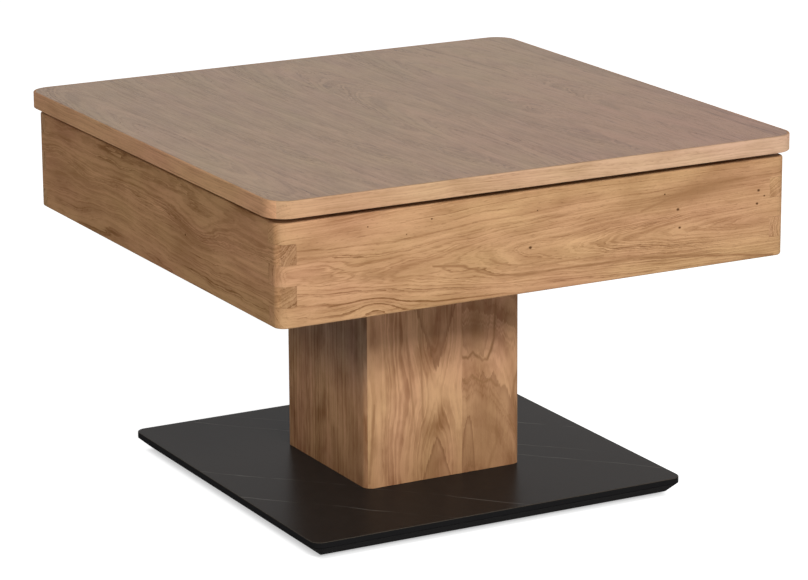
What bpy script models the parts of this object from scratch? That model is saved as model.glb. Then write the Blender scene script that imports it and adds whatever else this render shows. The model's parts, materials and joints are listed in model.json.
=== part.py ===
"""Height-adjustable coffee table, in metres, +Z up, origin on the floor under the column.

An oak top with a finger-jointed apron rides on a square guide tube. The tube slides in a second
tube inside the oak column and is held by a locking gas spring. A paddle inside the front apron
pulls a cable, which tilts a rocker and presses the gas spring's valve pin.
-Y is the front, where the paddle is.
"""

import math

import bmesh
import bpy
from mathutils import Matrix, Vector

# Driving dimensions: table top and apron
TABLE_HEIGHT = 0.500
TOP_SIDE = 0.750
TOP_THICKNESS = 0.022
TOP_CORNER_RADIUS = 0.030
TOP_EDGE_ROUND = 0.0012
EDGE_BAND_THICKNESS = 0.003
TOP_OVERHANG = 0.0105
SHADOW_GAP = 0.0075
APRON_HEIGHT = 0.1305
APRON_THICKNESS = 0.025
APRON_CORNER_RADIUS = 0.014
APRON_EDGE_ROUND = 0.0025
FINGER_COUNT = 5
CORNER_BLOCK_SIDE = 0.045
CORNER_BLOCK_CHAMFER = 0.015
CORNER_BLOCK_HEIGHT = 0.070

# Driving dimensions: base and column
GLIDE_HEIGHT = 0.005
GLIDE_RADIUS = 0.020
GLIDE_INSET = 0.058
CARRIER_THICKNESS = 0.014
UNDERCUT_INSET = 0.016
UNDERCUT_CORNER_RADIUS = 0.0015
BASE_SIDE = 0.547
BASE_CORNER_RADIUS = 0.015
SLAB_THICKNESS = 0.008
SLAB_EDGE_ROUND = 0.0008
COLUMN_SIDE = 0.233
COLUMN_WALL = 0.020
COLUMN_CORNER_RADIUS = 0.012
CAP_THICKNESS = 0.006
CAP_INSET = 0.002
CABLE_SPACE = 0.0145

# Driving dimensions: guide tubes and plates
LIFT_STROKE = 0.200
GUIDE_OVERLAP = 0.150
PLATE_SIDE = 0.300
PLATE_THICKNESS = 0.005
PLATE_CORNER_RADIUS = 0.010
PLATE_HOLE_SPACING = 0.260
FLANGE_SIDE = 0.170
FLANGE_THICKNESS = 0.006
FLANGE_HOLE_SPACING = 0.130
OUTER_TUBE_SIDE = 0.080
OUTER_TUBE_WALL = 0.0025
INNER_TUBE_SIDE = 0.070
INNER_TUBE_WALL = 0.0025
TUBE_CORNER_RADIUS = 0.006
BUSH_LENGTH = 0.040
BUSH_COLLAR = 0.003

# Driving dimensions: gas spring
CYLINDER_RADIUS = 0.014
CYLINDER_WALL = 0.002
CYLINDER_FLOOR = 0.006
ROD_RADIUS = 0.006
ROD_SHOWN_LOW = 0.077
ROD_SPIGOT_RADIUS = 0.003
PISTON_LENGTH = 0.014
PISTON_REST_GAP = 0.002
PISTON_END_GAP = 0.030
ROD_GUIDE_LENGTH = 0.012
ROD_GUIDE_COLLAR = 0.004
FOOT_RADIUS = 0.012
FOOT_SPIGOT_RADIUS = 0.004

# Driving dimensions: release head, rocker and valve pin
HEAD_WIDTH = 0.032
HEAD_LENGTH = 0.050
HEAD_HEIGHT = 0.032
HEAD_FLOOR = 0.012
HEAD_CHEEK = 0.006
HEAD_END_WALL = 0.004
VALVE_PIN_RADIUS = 0.002
VALVE_PIN_TIP_RADIUS = 0.0008
VALVE_PIN_PROUD = 0.005
VALVE_PIN_SEAT = 0.010
VALVE_PIN_TRAVEL = 0.003
ROCKER_ARM = 0.009
ROCKER_NOSE = 0.003
ROCKER_HUB_RADIUS = 0.0045
ROCKER_ARM_THICKNESS = 0.004
ROCKER_WIDTH = 0.009
ROCKER_MAST = 0.0095
ROCKER_WIRE_ARM = 0.0065

# Driving dimensions: paddle, bracket and cable
HINGE_PIN_RADIUS = 0.0025
PADDLE_RECESS = 0.022
PADDLE_LENGTH = 0.075
PADDLE_WIDTH = 0.076
PADDLE_NECK = 0.012
PADDLE_THICKNESS = 0.003
PADDLE_BARREL_RADIUS = 0.006
PADDLE_WIRE_ARM = 0.010
PADDLE_HORN_WIDTH = 0.012
BRACKET_WIDTH = 0.060
BRACKET_SHEET = 0.002
BRACKET_ABOVE_PIN = 0.040
BRACKET_BELOW_PIN = 0.012
BRACKET_PIN_STANDOFF = 0.022
BRACKET_EAR = 0.008
BRACKET_TAB_ABOVE_PIN = 0.030
BRACKET_TAB_WIDTH = 0.016
BRACKET_SCREW_SPACING = 0.036
BRACKET_SCREW_ABOVE_PIN = 0.020
WIRE_RADIUS = 0.0008
SHEATH_RADIUS = 0.0025
FERRULE_RADIUS = 0.0032
FERRULE_LENGTH = 0.006
CABLE_BEND = 0.045
CLIP_WIDTH = 0.012
CLIP_LENGTH = 0.010
CLIP_WALL = 0.0018
CLIP_DROP = 0.008
CLIP_SPACING = 0.060

# Driving dimensions: fasteners
SCREW_RADIUS = 0.002
SCREW_HEAD_RADIUS = 0.004
SCREW_HEAD_HEIGHT = 0.0028
SCREW_BITE = 0.013
BOLT_RADIUS = 0.004
BOLT_HEAD_RADIUS = 0.007
BOLT_HEAD_HEIGHT = 0.006
RECESS_SHARE = 0.45

# Clearances: pieces that touch, glued joints, running fits and the oversize of a trimmed board
SEAT_GAP = 0.0003
JOINT_GAP = 0.00015
RUN_GAP = 0.0003
TRIM = 0.002

# Facets
CORNER_STEPS = 10
ROUND_STEPS = 3
TURNED_SIDES = 24
SMALL_SIDES = 12
CABLE_SIDES = 8
CABLE_STEPS = 4
SHARP_ANGLE = math.radians(30)

# Heights from the floor up
CARRIER_BOTTOM = GLIDE_HEIGHT
SLAB_TOP = CARRIER_BOTTOM + CARRIER_THICKNESS + SLAB_THICKNESS
COLUMN_BOTTOM = SLAB_TOP + SEAT_GAP
FLANGE_BOTTOM = SLAB_TOP + SEAT_GAP
FLANGE_TOP = FLANGE_BOTTOM + FLANGE_THICKNESS

# Heights from the top down
TOP_UNDERSIDE = TABLE_HEIGHT - TOP_THICKNESS
APRON_TOP = TOP_UNDERSIDE - SHADOW_GAP
APRON_BOTTOM = APRON_TOP - APRON_HEIGHT
PLATE_TOP = TOP_UNDERSIDE - SEAT_GAP
PLATE_UNDERSIDE = PLATE_TOP - PLATE_THICKNESS
CAP_TOP = PLATE_UNDERSIDE - CABLE_SPACE
CAP_BOTTOM = CAP_TOP - CAP_THICKNESS
COLUMN_TOP = CAP_BOTTOM - SEAT_GAP
BUSH_TOP = CAP_BOTTOM - SEAT_GAP
OUTER_TUBE_TOP = BUSH_TOP - BUSH_COLLAR - SEAT_GAP
INNER_TUBE_TOP = PLATE_UNDERSIDE - SEAT_GAP
INNER_TUBE_BOTTOM = OUTER_TUBE_TOP - LIFT_STROKE - GUIDE_OVERLAP

# Release head and gas spring, from the mounting plate down
HEAD_TOP = PLATE_UNDERSIDE - SEAT_GAP
HEAD_BOTTOM = HEAD_TOP - HEAD_HEIGHT
ROD_TOP = HEAD_BOTTOM + HEAD_FLOOR
VALVE_PIN_TOP = ROD_TOP + VALVE_PIN_PROUD
ROCKER_Z = VALVE_PIN_TOP + SEAT_GAP + ROCKER_HUB_RADIUS
ROCKER_Y = ROCKER_ARM
WIRE_Z = ROCKER_Z + ROCKER_WIRE_ARM
CYLINDER_LENGTH = (CYLINDER_FLOOR + PISTON_REST_GAP + PISTON_LENGTH + LIFT_STROKE + PISTON_END_GAP
                   + ROD_GUIDE_LENGTH)
CYLINDER_TOP = ROD_TOP - ROD_SHOWN_LOW
CYLINDER_BOTTOM = CYLINDER_TOP - CYLINDER_LENGTH
PISTON_BOTTOM = CYLINDER_BOTTOM + CYLINDER_FLOOR + PISTON_REST_GAP
PISTON_TOP = PISTON_BOTTOM + PISTON_LENGTH

# Plan sizes
TOP_HALF = TOP_SIDE / 2
APRON_HALF = TOP_HALF - TOP_OVERHANG
APRON_INNER = APRON_HALF - APRON_THICKNESS
BLOCK_CENTRE = APRON_INNER - SEAT_GAP - CORNER_BLOCK_SIDE / 2
COLUMN_HALF = COLUMN_SIDE / 2
OUTER_TUBE_HALF = OUTER_TUBE_SIDE / 2
OUTER_TUBE_BORE = OUTER_TUBE_HALF - OUTER_TUBE_WALL
INNER_TUBE_HALF = INNER_TUBE_SIDE / 2
GLIDE_PLACE = BASE_SIDE / 2 - GLIDE_INSET
HINGE_Y = -APRON_INNER + SEAT_GAP + BRACKET_SHEET + BRACKET_PIN_STANDOFF
HINGE_Z = APRON_BOTTOM + PADDLE_RECESS
PADDLE_WIRE_Y = HINGE_Y - PADDLE_WIRE_ARM
SCREW_HOLE = SCREW_RADIUS + SEAT_GAP
PIN_HOLE = HINGE_PIN_RADIUS + RUN_GAP
WIRE_HOLE = WIRE_RADIUS + RUN_GAP
SHEATH_HOLE = SHEATH_RADIUS + SEAT_GAP
CORNER_SIGNS = ((-1, -1), (1, -1), (1, 1), (-1, 1))


# Shapes

def square_loop(half, radius, z):
    """Points of a square with rounded corners at height z."""
    points = []
    centre = half - radius
    for quarter, (sign_x, sign_y) in enumerate(((1, 1), (-1, 1), (-1, -1), (1, -1))):
        for step in range(CORNER_STEPS + 1):
            angle = math.radians(90) * (quarter + step / CORNER_STEPS)
            x = sign_x * centre + radius * math.cos(angle)
            y = sign_y * centre + radius * math.sin(angle)
            points.append((x, y, z))
    return points


def circle_loop(radius, z, sides):
    """Points of a circle at height z."""
    turns = [2 * math.pi * k / sides for k in range(sides)]
    return [(radius * math.cos(a), radius * math.sin(a), z) for a in turns]


def hexagon_loop(apothem, z, sides):
    """As many points as a circle has, laid on a hexagon, for a socket recess."""
    sixth = math.radians(60)
    points = []
    for k in range(sides):
        angle = 2 * math.pi * k / sides
        radius = apothem / math.cos(angle % sixth - sixth / 2)
        points.append((radius * math.cos(angle), radius * math.sin(angle), z))
    return points


def loft(loops, ring=False):
    """Skins a row of loops. A ring joins the last to the first, and otherwise both ends are capped."""
    bm = bmesh.new()
    rows = [[bm.verts.new(point) for point in loop] for loop in loops]
    count = len(rows[0])
    following = rows[1:] + rows[:1] if ring else rows[1:]
    for low, high in zip(rows, following):
        for k in range(count):
            after = (k + 1) % count
            bm.faces.new((low[k], low[after], high[after], high[k]))
    if not ring:
        bm.faces.new(rows[0])
        bm.faces.new(rows[-1])
    return bm


def square_plate(half, radius, low, high):
    return loft([square_loop(half, radius, low), square_loop(half, radius, high)])


def square_ring(profile, half, radius):
    """Closed square ring whose cross-section is a list of (inset from the outline, height)."""
    return loft([square_loop(half - inset, radius - inset, z) for inset, z in profile], ring=True)


def square_tube(half, radius, wall, low, high):
    return square_ring(((0, low), (0, high), (wall, high), (wall, low)), half, radius)


def turned(profile, sides=TURNED_SIDES):
    """Solid of revolution about Z from a list of (radius, height)."""
    return loft([circle_loop(radius, z, sides) for radius, z in profile])


def turned_ring(profile, sides=TURNED_SIDES):
    return loft([circle_loop(radius, z, sides) for radius, z in profile], ring=True)


def rod(radius, low, high, sides=SMALL_SIDES):
    return turned(((radius, low), (radius, high)), sides)


def prism(outline, low, high):
    """Extrudes an outline of (x, y) points from low to high."""
    return loft([[(x, y, z) for x, y in outline] for z in (low, high)])


def block(x, y, z):
    """Box from three (low, high) pairs."""
    return prism(((x[0], y[0]), (x[1], y[0]), (x[1], y[1]), (x[0], y[1])), *z)


def moved(bm, matrix):
    bmesh.ops.transform(bm, matrix=matrix, verts=bm.verts)
    return bm


def shifted(bm, x=0.0, y=0.0, z=0.0):
    return moved(bm, Matrix.Translation((x, y, z)))


def along_x(bm):
    """Turns what runs along Z to run along X."""
    return moved(bm, Matrix.Rotation(math.radians(90), 4, "Y"))


def along_y(bm):
    """Turns what runs up Z to run along -Y."""
    return moved(bm, Matrix.Rotation(math.radians(90), 4, "X"))


def boolean(body, tool, operation):
    """The DIFFERENCE, UNION or INTERSECT of two shapes, which are used up."""
    holders = []
    for bm in (body, tool):
        bmesh.ops.recalc_face_normals(bm, faces=bm.faces)
        mesh = bpy.data.meshes.new("shape")
        bm.to_mesh(mesh)
        bm.free()
        holder = bpy.data.objects.new("shape", mesh)
        bpy.context.scene.collection.objects.link(holder)
        holders.append(holder)
    modifier = holders[0].modifiers.new("combine", "BOOLEAN")
    modifier.operation = operation
    modifier.object = holders[1]
    result = bmesh.new()
    result.from_object(holders[0], bpy.context.evaluated_depsgraph_get())
    for holder in holders:
        mesh = holder.data
        bpy.data.objects.remove(holder)
        bpy.data.meshes.remove(mesh)
    return result


def cut(body, *tools):
    for tool in tools:
        body = boolean(body, tool, "DIFFERENCE")
    return body


def joined(*bodies):
    result = bodies[0]
    for body in bodies[1:]:
        result = boolean(result, body, "UNION")
    return result


def rounded_profile(low, high, radius):
    """(inset, height) from the underside to the upper face, with quarter-round edges."""
    angles = [math.radians(90) * step / ROUND_STEPS for step in range(ROUND_STEPS + 1)]
    lower = [(radius * (1 - math.sin(a)), low + radius * (1 - math.cos(a))) for a in angles]
    upper = [(inset, high + low - z) for inset, z in reversed(lower)]
    return lower + upper


# Nodes

def finish(name, colour, roughness, metallic=0.0):
    material = bpy.data.materials.new(name)
    material.use_nodes = True
    shader = material.node_tree.nodes["Principled BSDF"]
    shader.inputs["Base Color"].default_value = (*colour, 1.0)
    shader.inputs["Roughness"].default_value = roughness
    shader.inputs["Metallic"].default_value = metallic
    return material


def axis_empty(name, place):
    """Marks a joint's axis. What moves on the joint is its child."""
    empty = bpy.data.objects.new(name, None)
    empty.location = place
    bpy.context.scene.collection.objects.link(empty)
    return empty


def add_piece(name, bm, material, parent=None, origin=(0, 0, 0)):
    """Makes a node from a shape drawn in world coordinates, with its own origin."""
    origin = Vector(origin)
    bmesh.ops.recalc_face_normals(bm, faces=bm.faces)
    bmesh.ops.translate(bm, verts=bm.verts, vec=-origin)
    mesh = bpy.data.meshes.new(name)
    bm.to_mesh(mesh)
    bm.free()
    mesh.shade_smooth()
    mesh.set_sharp_from_angle(angle=SHARP_ANGLE)
    mesh.materials.append(material)
    piece = bpy.data.objects.new(name, mesh)
    piece.parent = parent
    piece.location = origin - parent.location if parent else origin
    bpy.context.scene.collection.objects.link(piece)
    return piece


def screw(under_head, shank_radius, head_radius, head_height, point):
    """Screw along +Z with its head's seat at z = 0 and a socket recess in the head."""
    sides = SMALL_SIDES
    apothem = head_radius * RECESS_SHARE
    recess_floor = -head_height * (1 - RECESS_SHARE)
    return loft([
        hexagon_loop(apothem, recess_floor, sides),
        hexagon_loop(apothem, -head_height, sides),
        circle_loop(head_radius - head_height * 0.2, -head_height, sides),
        circle_loop(head_radius, -head_height * 0.7, sides),
        circle_loop(head_radius, 0, sides),
        circle_loop(shank_radius, 0, sides),
        circle_loop(shank_radius, under_head - point, sides),
        circle_loop(shank_radius * 0.3, under_head, sides),
    ])


def wood_screw(under_head):
    return screw(under_head, SCREW_RADIUS, SCREW_HEAD_RADIUS, SCREW_HEAD_HEIGHT, SCREW_RADIUS * 2)


def base_pieces(finishes):
    """Glides, carrier board with its undercut edge, slab and flange bolts."""
    half = BASE_SIDE / 2
    carrier_top = CARRIER_BOTTOM + CARRIER_THICKNESS - SEAT_GAP
    slab_bottom = CARRIER_BOTTOM + CARRIER_THICKNESS
    seat = CARRIER_BOTTOM + BOLT_HEAD_HEIGHT
    bolt_places = [(sx * FLANGE_HOLE_SPACING / 2, sy * FLANGE_HOLE_SPACING / 2) for sx, sy in CORNER_SIGNS]
    bolt_hole = BOLT_RADIUS + SEAT_GAP

    carrier = loft([
        square_loop(half - UNDERCUT_INSET, UNDERCUT_CORNER_RADIUS, CARRIER_BOTTOM),
        square_loop(half, BASE_CORNER_RADIUS, carrier_top),
    ])
    slab = loft([square_loop(half - inset, BASE_CORNER_RADIUS - inset, z)
                 for inset, z in rounded_profile(slab_bottom, SLAB_TOP, SLAB_EDGE_ROUND)])
    flange = square_plate(FLANGE_SIDE / 2, PLATE_CORNER_RADIUS, FLANGE_BOTTOM, FLANGE_TOP)
    flange = cut(flange, rod(FOOT_SPIGOT_RADIUS + SEAT_GAP, FLANGE_BOTTOM - TRIM, FLANGE_TOP + TRIM))
    for x, y in bolt_places:
        def drill(low, high, radius=bolt_hole):
            return shifted(rod(radius, low, high), x, y)
        carrier = cut(carrier, drill(CARRIER_BOTTOM - TRIM, carrier_top + TRIM),
                      drill(CARRIER_BOTTOM - TRIM, seat, BOLT_HEAD_RADIUS + SEAT_GAP))
        slab = cut(slab, drill(slab_bottom - TRIM, SLAB_TOP + TRIM))
        flange = cut(flange, drill(FLANGE_BOTTOM - TRIM, FLANGE_TOP + TRIM))
    add_piece("base_carrier", carrier, finishes["black_board"])
    add_piece("base_slab", slab, finishes["ceramic"])
    add_piece("floor_flange", flange, finishes["steel"])

    bolt_seat = seat - SEAT_GAP
    for number, (x, y) in enumerate(bolt_places, 1):
        bolt = screw(FLANGE_TOP - bolt_seat, BOLT_RADIUS, BOLT_HEAD_RADIUS,
                     BOLT_HEAD_HEIGHT - SEAT_GAP, BOLT_RADIUS / 4)
        add_piece(f"flange_bolt_{number}", shifted(bolt, x, y, bolt_seat), finishes["zinc"])
    for number, (sx, sy) in enumerate(CORNER_SIGNS, 1):
        edge = GLIDE_HEIGHT / 5
        glide = turned(((GLIDE_RADIUS - edge, 0), (GLIDE_RADIUS, edge),
                        (GLIDE_RADIUS, GLIDE_HEIGHT - SEAT_GAP)))
        add_piece(f"floor_glide_{number}", shifted(glide, sx * GLIDE_PLACE, sy * GLIDE_PLACE),
                  finishes["black_plastic"])


def column_panel():
    """Front panel of the column, mitred to its neighbours, with the hole for its cap screw."""
    inner = COLUMN_HALF - COLUMN_WALL
    centre = COLUMN_HALF - COLUMN_CORNER_RADIUS
    outline = []
    for sign, start in ((-1, 225), (1, 270)):
        for step in range(CORNER_STEPS + 1):
            angle = math.radians(start + 45 * step / CORNER_STEPS)
            x = sign * (centre - JOINT_GAP) + COLUMN_CORNER_RADIUS * math.cos(angle)
            outline.append((x, -centre + COLUMN_CORNER_RADIUS * math.sin(angle)))
    outline += [(inner - JOINT_GAP, -inner), (JOINT_GAP - inner, -inner)]
    panel = prism(outline, COLUMN_BOTTOM, COLUMN_TOP)
    hole = rod(SCREW_HOLE, COLUMN_TOP - SCREW_BITE - SEAT_GAP, COLUMN_TOP + TRIM)
    return cut(panel, shifted(hole, y=COLUMN_WALL / 2 - COLUMN_HALF))


def column_pieces(finishes):
    """Oak box of four panels, its cap, the outer guide tube and the upper bush."""
    for quarter, side in enumerate(("front", "right", "rear", "left")):
        turn = Matrix.Rotation(math.radians(90) * quarter, 4, "Z")
        add_piece(f"column_panel_{side}", moved(column_panel(), turn), finishes["oak"])

    sleeve = OUTER_TUBE_HALF - INNER_TUBE_HALF - RUN_GAP
    cap_half = COLUMN_HALF - CAP_INSET
    cap = square_plate(cap_half, COLUMN_CORNER_RADIUS - CAP_INSET, CAP_BOTTOM, CAP_TOP)
    cap = cut(cap, square_plate(INNER_TUBE_HALF + RUN_GAP, TUBE_CORNER_RADIUS, CAP_BOTTOM - TRIM,
                                CAP_TOP + TRIM))
    for quarter in range(4):
        turn = Matrix.Rotation(math.radians(90) * quarter, 4, "Z")
        hole = rod(SCREW_HOLE, CAP_BOTTOM - TRIM, CAP_TOP + TRIM)
        cap = cut(cap, moved(shifted(hole, y=COLUMN_WALL / 2 - COLUMN_HALF), turn))
        flip = Matrix.Rotation(math.radians(180), 4, "X")
        fastener = moved(wood_screw(CAP_THICKNESS + SCREW_BITE), flip)
        fastener = shifted(fastener, y=COLUMN_WALL / 2 - COLUMN_HALF, z=CAP_TOP + SEAT_GAP)
        add_piece(f"cap_screw_{quarter + 1}", moved(fastener, turn), finishes["zinc"])
    add_piece("column_top_cap", cap, finishes["black_board"])

    tube = square_tube(OUTER_TUBE_HALF, TUBE_CORNER_RADIUS, OUTER_TUBE_WALL, FLANGE_TOP + SEAT_GAP,
                       OUTER_TUBE_TOP)
    add_piece("outer_guide_tube", tube, finishes["steel"])
    slide = OUTER_TUBE_WALL + SEAT_GAP
    collar = OUTER_TUBE_TOP + SEAT_GAP
    bush = square_ring(((0, collar), (0, BUSH_TOP), (sleeve, BUSH_TOP), (sleeve, BUSH_TOP - BUSH_LENGTH),
                        (slide, BUSH_TOP - BUSH_LENGTH), (slide, collar)),
                       OUTER_TUBE_HALF, TUBE_CORNER_RADIUS)
    add_piece("upper_guide_bush", bush, finishes["black_plastic"])


def gas_spring_fixed_pieces(finishes):
    """Foot, cylinder with an open top, and the rod guide that closes it."""
    bore = CYLINDER_RADIUS - CYLINDER_WALL
    foot = turned(((FOOT_SPIGOT_RADIUS, FLANGE_BOTTOM + SEAT_GAP),
                   (FOOT_SPIGOT_RADIUS, FLANGE_TOP + SEAT_GAP),
                   (FOOT_RADIUS, FLANGE_TOP + SEAT_GAP), (FOOT_RADIUS, CYLINDER_BOTTOM - SEAT_GAP)))
    cylinder = turned(((CYLINDER_RADIUS, CYLINDER_BOTTOM), (CYLINDER_RADIUS, CYLINDER_TOP),
                       (bore, CYLINDER_TOP), (bore, CYLINDER_BOTTOM + CYLINDER_FLOOR)))
    collar = CYLINDER_TOP + SEAT_GAP
    guide = turned_ring(((bore - SEAT_GAP, CYLINDER_TOP - ROD_GUIDE_LENGTH), (bore - SEAT_GAP, collar),
                         (CYLINDER_RADIUS, collar), (CYLINDER_RADIUS, collar + ROD_GUIDE_COLLAR),
                         (ROD_RADIUS + RUN_GAP, collar + ROD_GUIDE_COLLAR),
                         (ROD_RADIUS + RUN_GAP, CYLINDER_TOP - ROD_GUIDE_LENGTH)))
    add_piece("gas_spring_foot", foot, finishes["zinc"])
    add_piece("gas_spring_cylinder", cylinder, finishes["black_steel"])
    add_piece("gas_spring_rod_guide", guide, finishes["steel"])


def gas_spring_moving_pieces(finishes, lift):
    """Rod with its valve bore and the piston on its lower spigot."""
    valve_bore = VALVE_PIN_RADIUS + RUN_GAP
    bore_floor = ROD_TOP - VALVE_PIN_SEAT - VALVE_PIN_TRAVEL - SEAT_GAP
    shank = turned(((ROD_SPIGOT_RADIUS, PISTON_BOTTOM), (ROD_SPIGOT_RADIUS, PISTON_TOP + SEAT_GAP),
                    (ROD_RADIUS, PISTON_TOP + SEAT_GAP), (ROD_RADIUS, ROD_TOP),
                    (valve_bore, ROD_TOP), (valve_bore, bore_floor)))
    outside = CYLINDER_RADIUS - CYLINDER_WALL - RUN_GAP
    inside = ROD_SPIGOT_RADIUS + SEAT_GAP
    piston = turned_ring(((outside, PISTON_BOTTOM), (outside, PISTON_TOP), (inside, PISTON_TOP),
                          (inside, PISTON_BOTTOM)))
    add_piece("gas_spring_rod", shank, finishes["chrome"], lift)
    add_piece("gas_spring_piston", piston, finishes["steel"], lift)


def apron_board(owns_ends):
    """Front board before trimming: a comb at both ends, with its outer fingers where owns_ends is set."""
    pitch = APRON_HEIGHT / FINGER_COUNT
    right = []
    for finger in range(FINGER_COUNT):
        own = (finger % 2 == 0) == owns_ends
        shrink = JOINT_GAP / 2 if own else -JOINT_GAP / 2
        low = APRON_BOTTOM + finger * pitch + shrink
        high = APRON_BOTTOM + (finger + 1) * pitch - shrink
        if finger == 0:
            low = APRON_BOTTOM - TRIM
        if finger == FINGER_COUNT - 1:
            high = APRON_TOP + TRIM
        x = APRON_HALF + TRIM if own else APRON_INNER - JOINT_GAP
        right += [(x, low), (x, high)]
    left = [(-x, z) for x, z in reversed(right)]
    board = along_y(prism(right + left, APRON_INNER, APRON_HALF + TRIM))
    return board


def apron_pieces(finishes, lift):
    """Four boards with interlocking fingers, trimmed to one envelope with soft edges."""
    bracket_holes = [along_y(shifted(rod(SCREW_HOLE, APRON_INNER - TRIM, APRON_INNER + SCREW_BITE + SEAT_GAP),
                                     sign * BRACKET_SCREW_SPACING / 2, HINGE_Z + BRACKET_SCREW_ABOVE_PIN))
                     for sign in (-1, 1)]
    for quarter, side in enumerate(("front", "right", "rear", "left")):
        envelope = loft([square_loop(APRON_HALF - inset, APRON_CORNER_RADIUS - inset, z)
                         for inset, z in rounded_profile(APRON_BOTTOM, APRON_TOP, APRON_EDGE_ROUND)])
        board = apron_board(owns_ends=side in ("front", "rear"))
        if side == "front":
            board = cut(board, *bracket_holes)
        turn = Matrix.Rotation(math.radians(90) * quarter, 4, "Z")
        board = boolean(moved(board, turn), envelope, "INTERSECT")
        add_piece(f"apron_{side}", board, finishes["oak"], lift)


def top_pieces(finishes, lift):
    """Veneered panel, its edge band, the corner blocks under it and their screws."""
    core_half = TOP_HALF - EDGE_BAND_THICKNESS - JOINT_GAP
    core_radius = TOP_CORNER_RADIUS - EDGE_BAND_THICKNESS - JOINT_GAP
    panel = square_plate(core_half, core_radius, TOP_UNDERSIDE, TABLE_HEIGHT)
    plate_places = [(sx * PLATE_HOLE_SPACING / 2, sy * PLATE_HOLE_SPACING / 2) for sx, sy in CORNER_SIGNS]
    block_places = [(sx * BLOCK_CENTRE, sy * BLOCK_CENTRE) for sx, sy in CORNER_SIGNS]
    for x, y in plate_places + block_places:
        pilot = rod(SCREW_HOLE, TOP_UNDERSIDE - TRIM, TOP_UNDERSIDE + SCREW_BITE + SEAT_GAP)
        panel = cut(panel, shifted(pilot, x, y))
    add_piece("top_panel", panel, finishes["oak_veneer"], lift)

    profile = rounded_profile(TOP_UNDERSIDE, TABLE_HEIGHT, TOP_EDGE_ROUND)
    profile += [(EDGE_BAND_THICKNESS, TABLE_HEIGHT), (EDGE_BAND_THICKNESS, TOP_UNDERSIDE)]
    band = square_ring(profile, TOP_HALF, TOP_CORNER_RADIUS)
    add_piece("top_edge_band", band, finishes["oak"], lift)

    block_top = TOP_UNDERSIDE - SEAT_GAP
    block_bottom = block_top - CORNER_BLOCK_HEIGHT
    for number, (x, y) in enumerate(block_places, 1):
        side = CORNER_BLOCK_SIDE / 2
        cut_off = side - CORNER_BLOCK_CHAMFER
        outline = ((side, side), (-cut_off, side), (-side, cut_off), (-side, -side), (side, -side))
        quarter = math.atan2(y, x) + math.radians(45)
        corner = prism(outline, block_bottom, block_top)
        corner = moved(corner, Matrix.Rotation(quarter, 4, "Z"))
        corner = cut(corner, rod(SCREW_HOLE, block_bottom - TRIM, block_top + TRIM))
        add_piece(f"corner_block_{number}", shifted(corner, x, y), finishes["beech"], lift)
        fastener = wood_screw(CORNER_BLOCK_HEIGHT + SEAT_GAP + SCREW_BITE)
        fastener = shifted(fastener, x, y, block_bottom - SEAT_GAP)
        add_piece(f"block_screw_{number}", fastener, finishes["zinc"], lift)


def lift_steel_pieces(finishes, lift):
    """Mounting plate with its screws, inner guide tube with the cable hole, and the lower bush."""
    plate = square_plate(PLATE_SIDE / 2, PLATE_CORNER_RADIUS, PLATE_UNDERSIDE, PLATE_TOP)
    for number, (sx, sy) in enumerate(CORNER_SIGNS, 1):
        x = sx * PLATE_HOLE_SPACING / 2
        y = sy * PLATE_HOLE_SPACING / 2
        plate = cut(plate, shifted(rod(SCREW_HOLE, PLATE_UNDERSIDE - TRIM, PLATE_TOP + TRIM), x, y))
        fastener = wood_screw(PLATE_THICKNESS + SEAT_GAP + SCREW_BITE)
        fastener = shifted(fastener, x, y, PLATE_UNDERSIDE - SEAT_GAP)
        add_piece(f"plate_screw_{number}", fastener, finishes["zinc"], lift)
    add_piece("mounting_plate", plate, finishes["black_steel"], lift)

    tube = square_tube(INNER_TUBE_HALF, TUBE_CORNER_RADIUS, INNER_TUBE_WALL, INNER_TUBE_BOTTOM,
                       INNER_TUBE_TOP)
    wall = INNER_TUBE_HALF - INNER_TUBE_WALL
    passage = along_y(shifted(rod(SHEATH_HOLE, wall - TRIM, INNER_TUBE_HALF + TRIM), y=WIRE_Z))
    add_piece("inner_guide_tube", cut(tube, passage), finishes["black_steel"], lift)

    half = OUTER_TUBE_BORE - RUN_GAP
    sleeve = half - INNER_TUBE_HALF - SEAT_GAP
    lip = sleeve + SEAT_GAP + INNER_TUBE_WALL
    seat = INNER_TUBE_BOTTOM - SEAT_GAP
    bottom = seat - BUSH_COLLAR
    top = bottom + BUSH_LENGTH
    bush = square_ring(((0, bottom), (0, top), (sleeve, top), (sleeve, seat), (lip, seat), (lip, bottom)),
                       half, TUBE_CORNER_RADIUS)
    add_piece("lower_guide_bush", bush, finishes["black_plastic"], lift)


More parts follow.
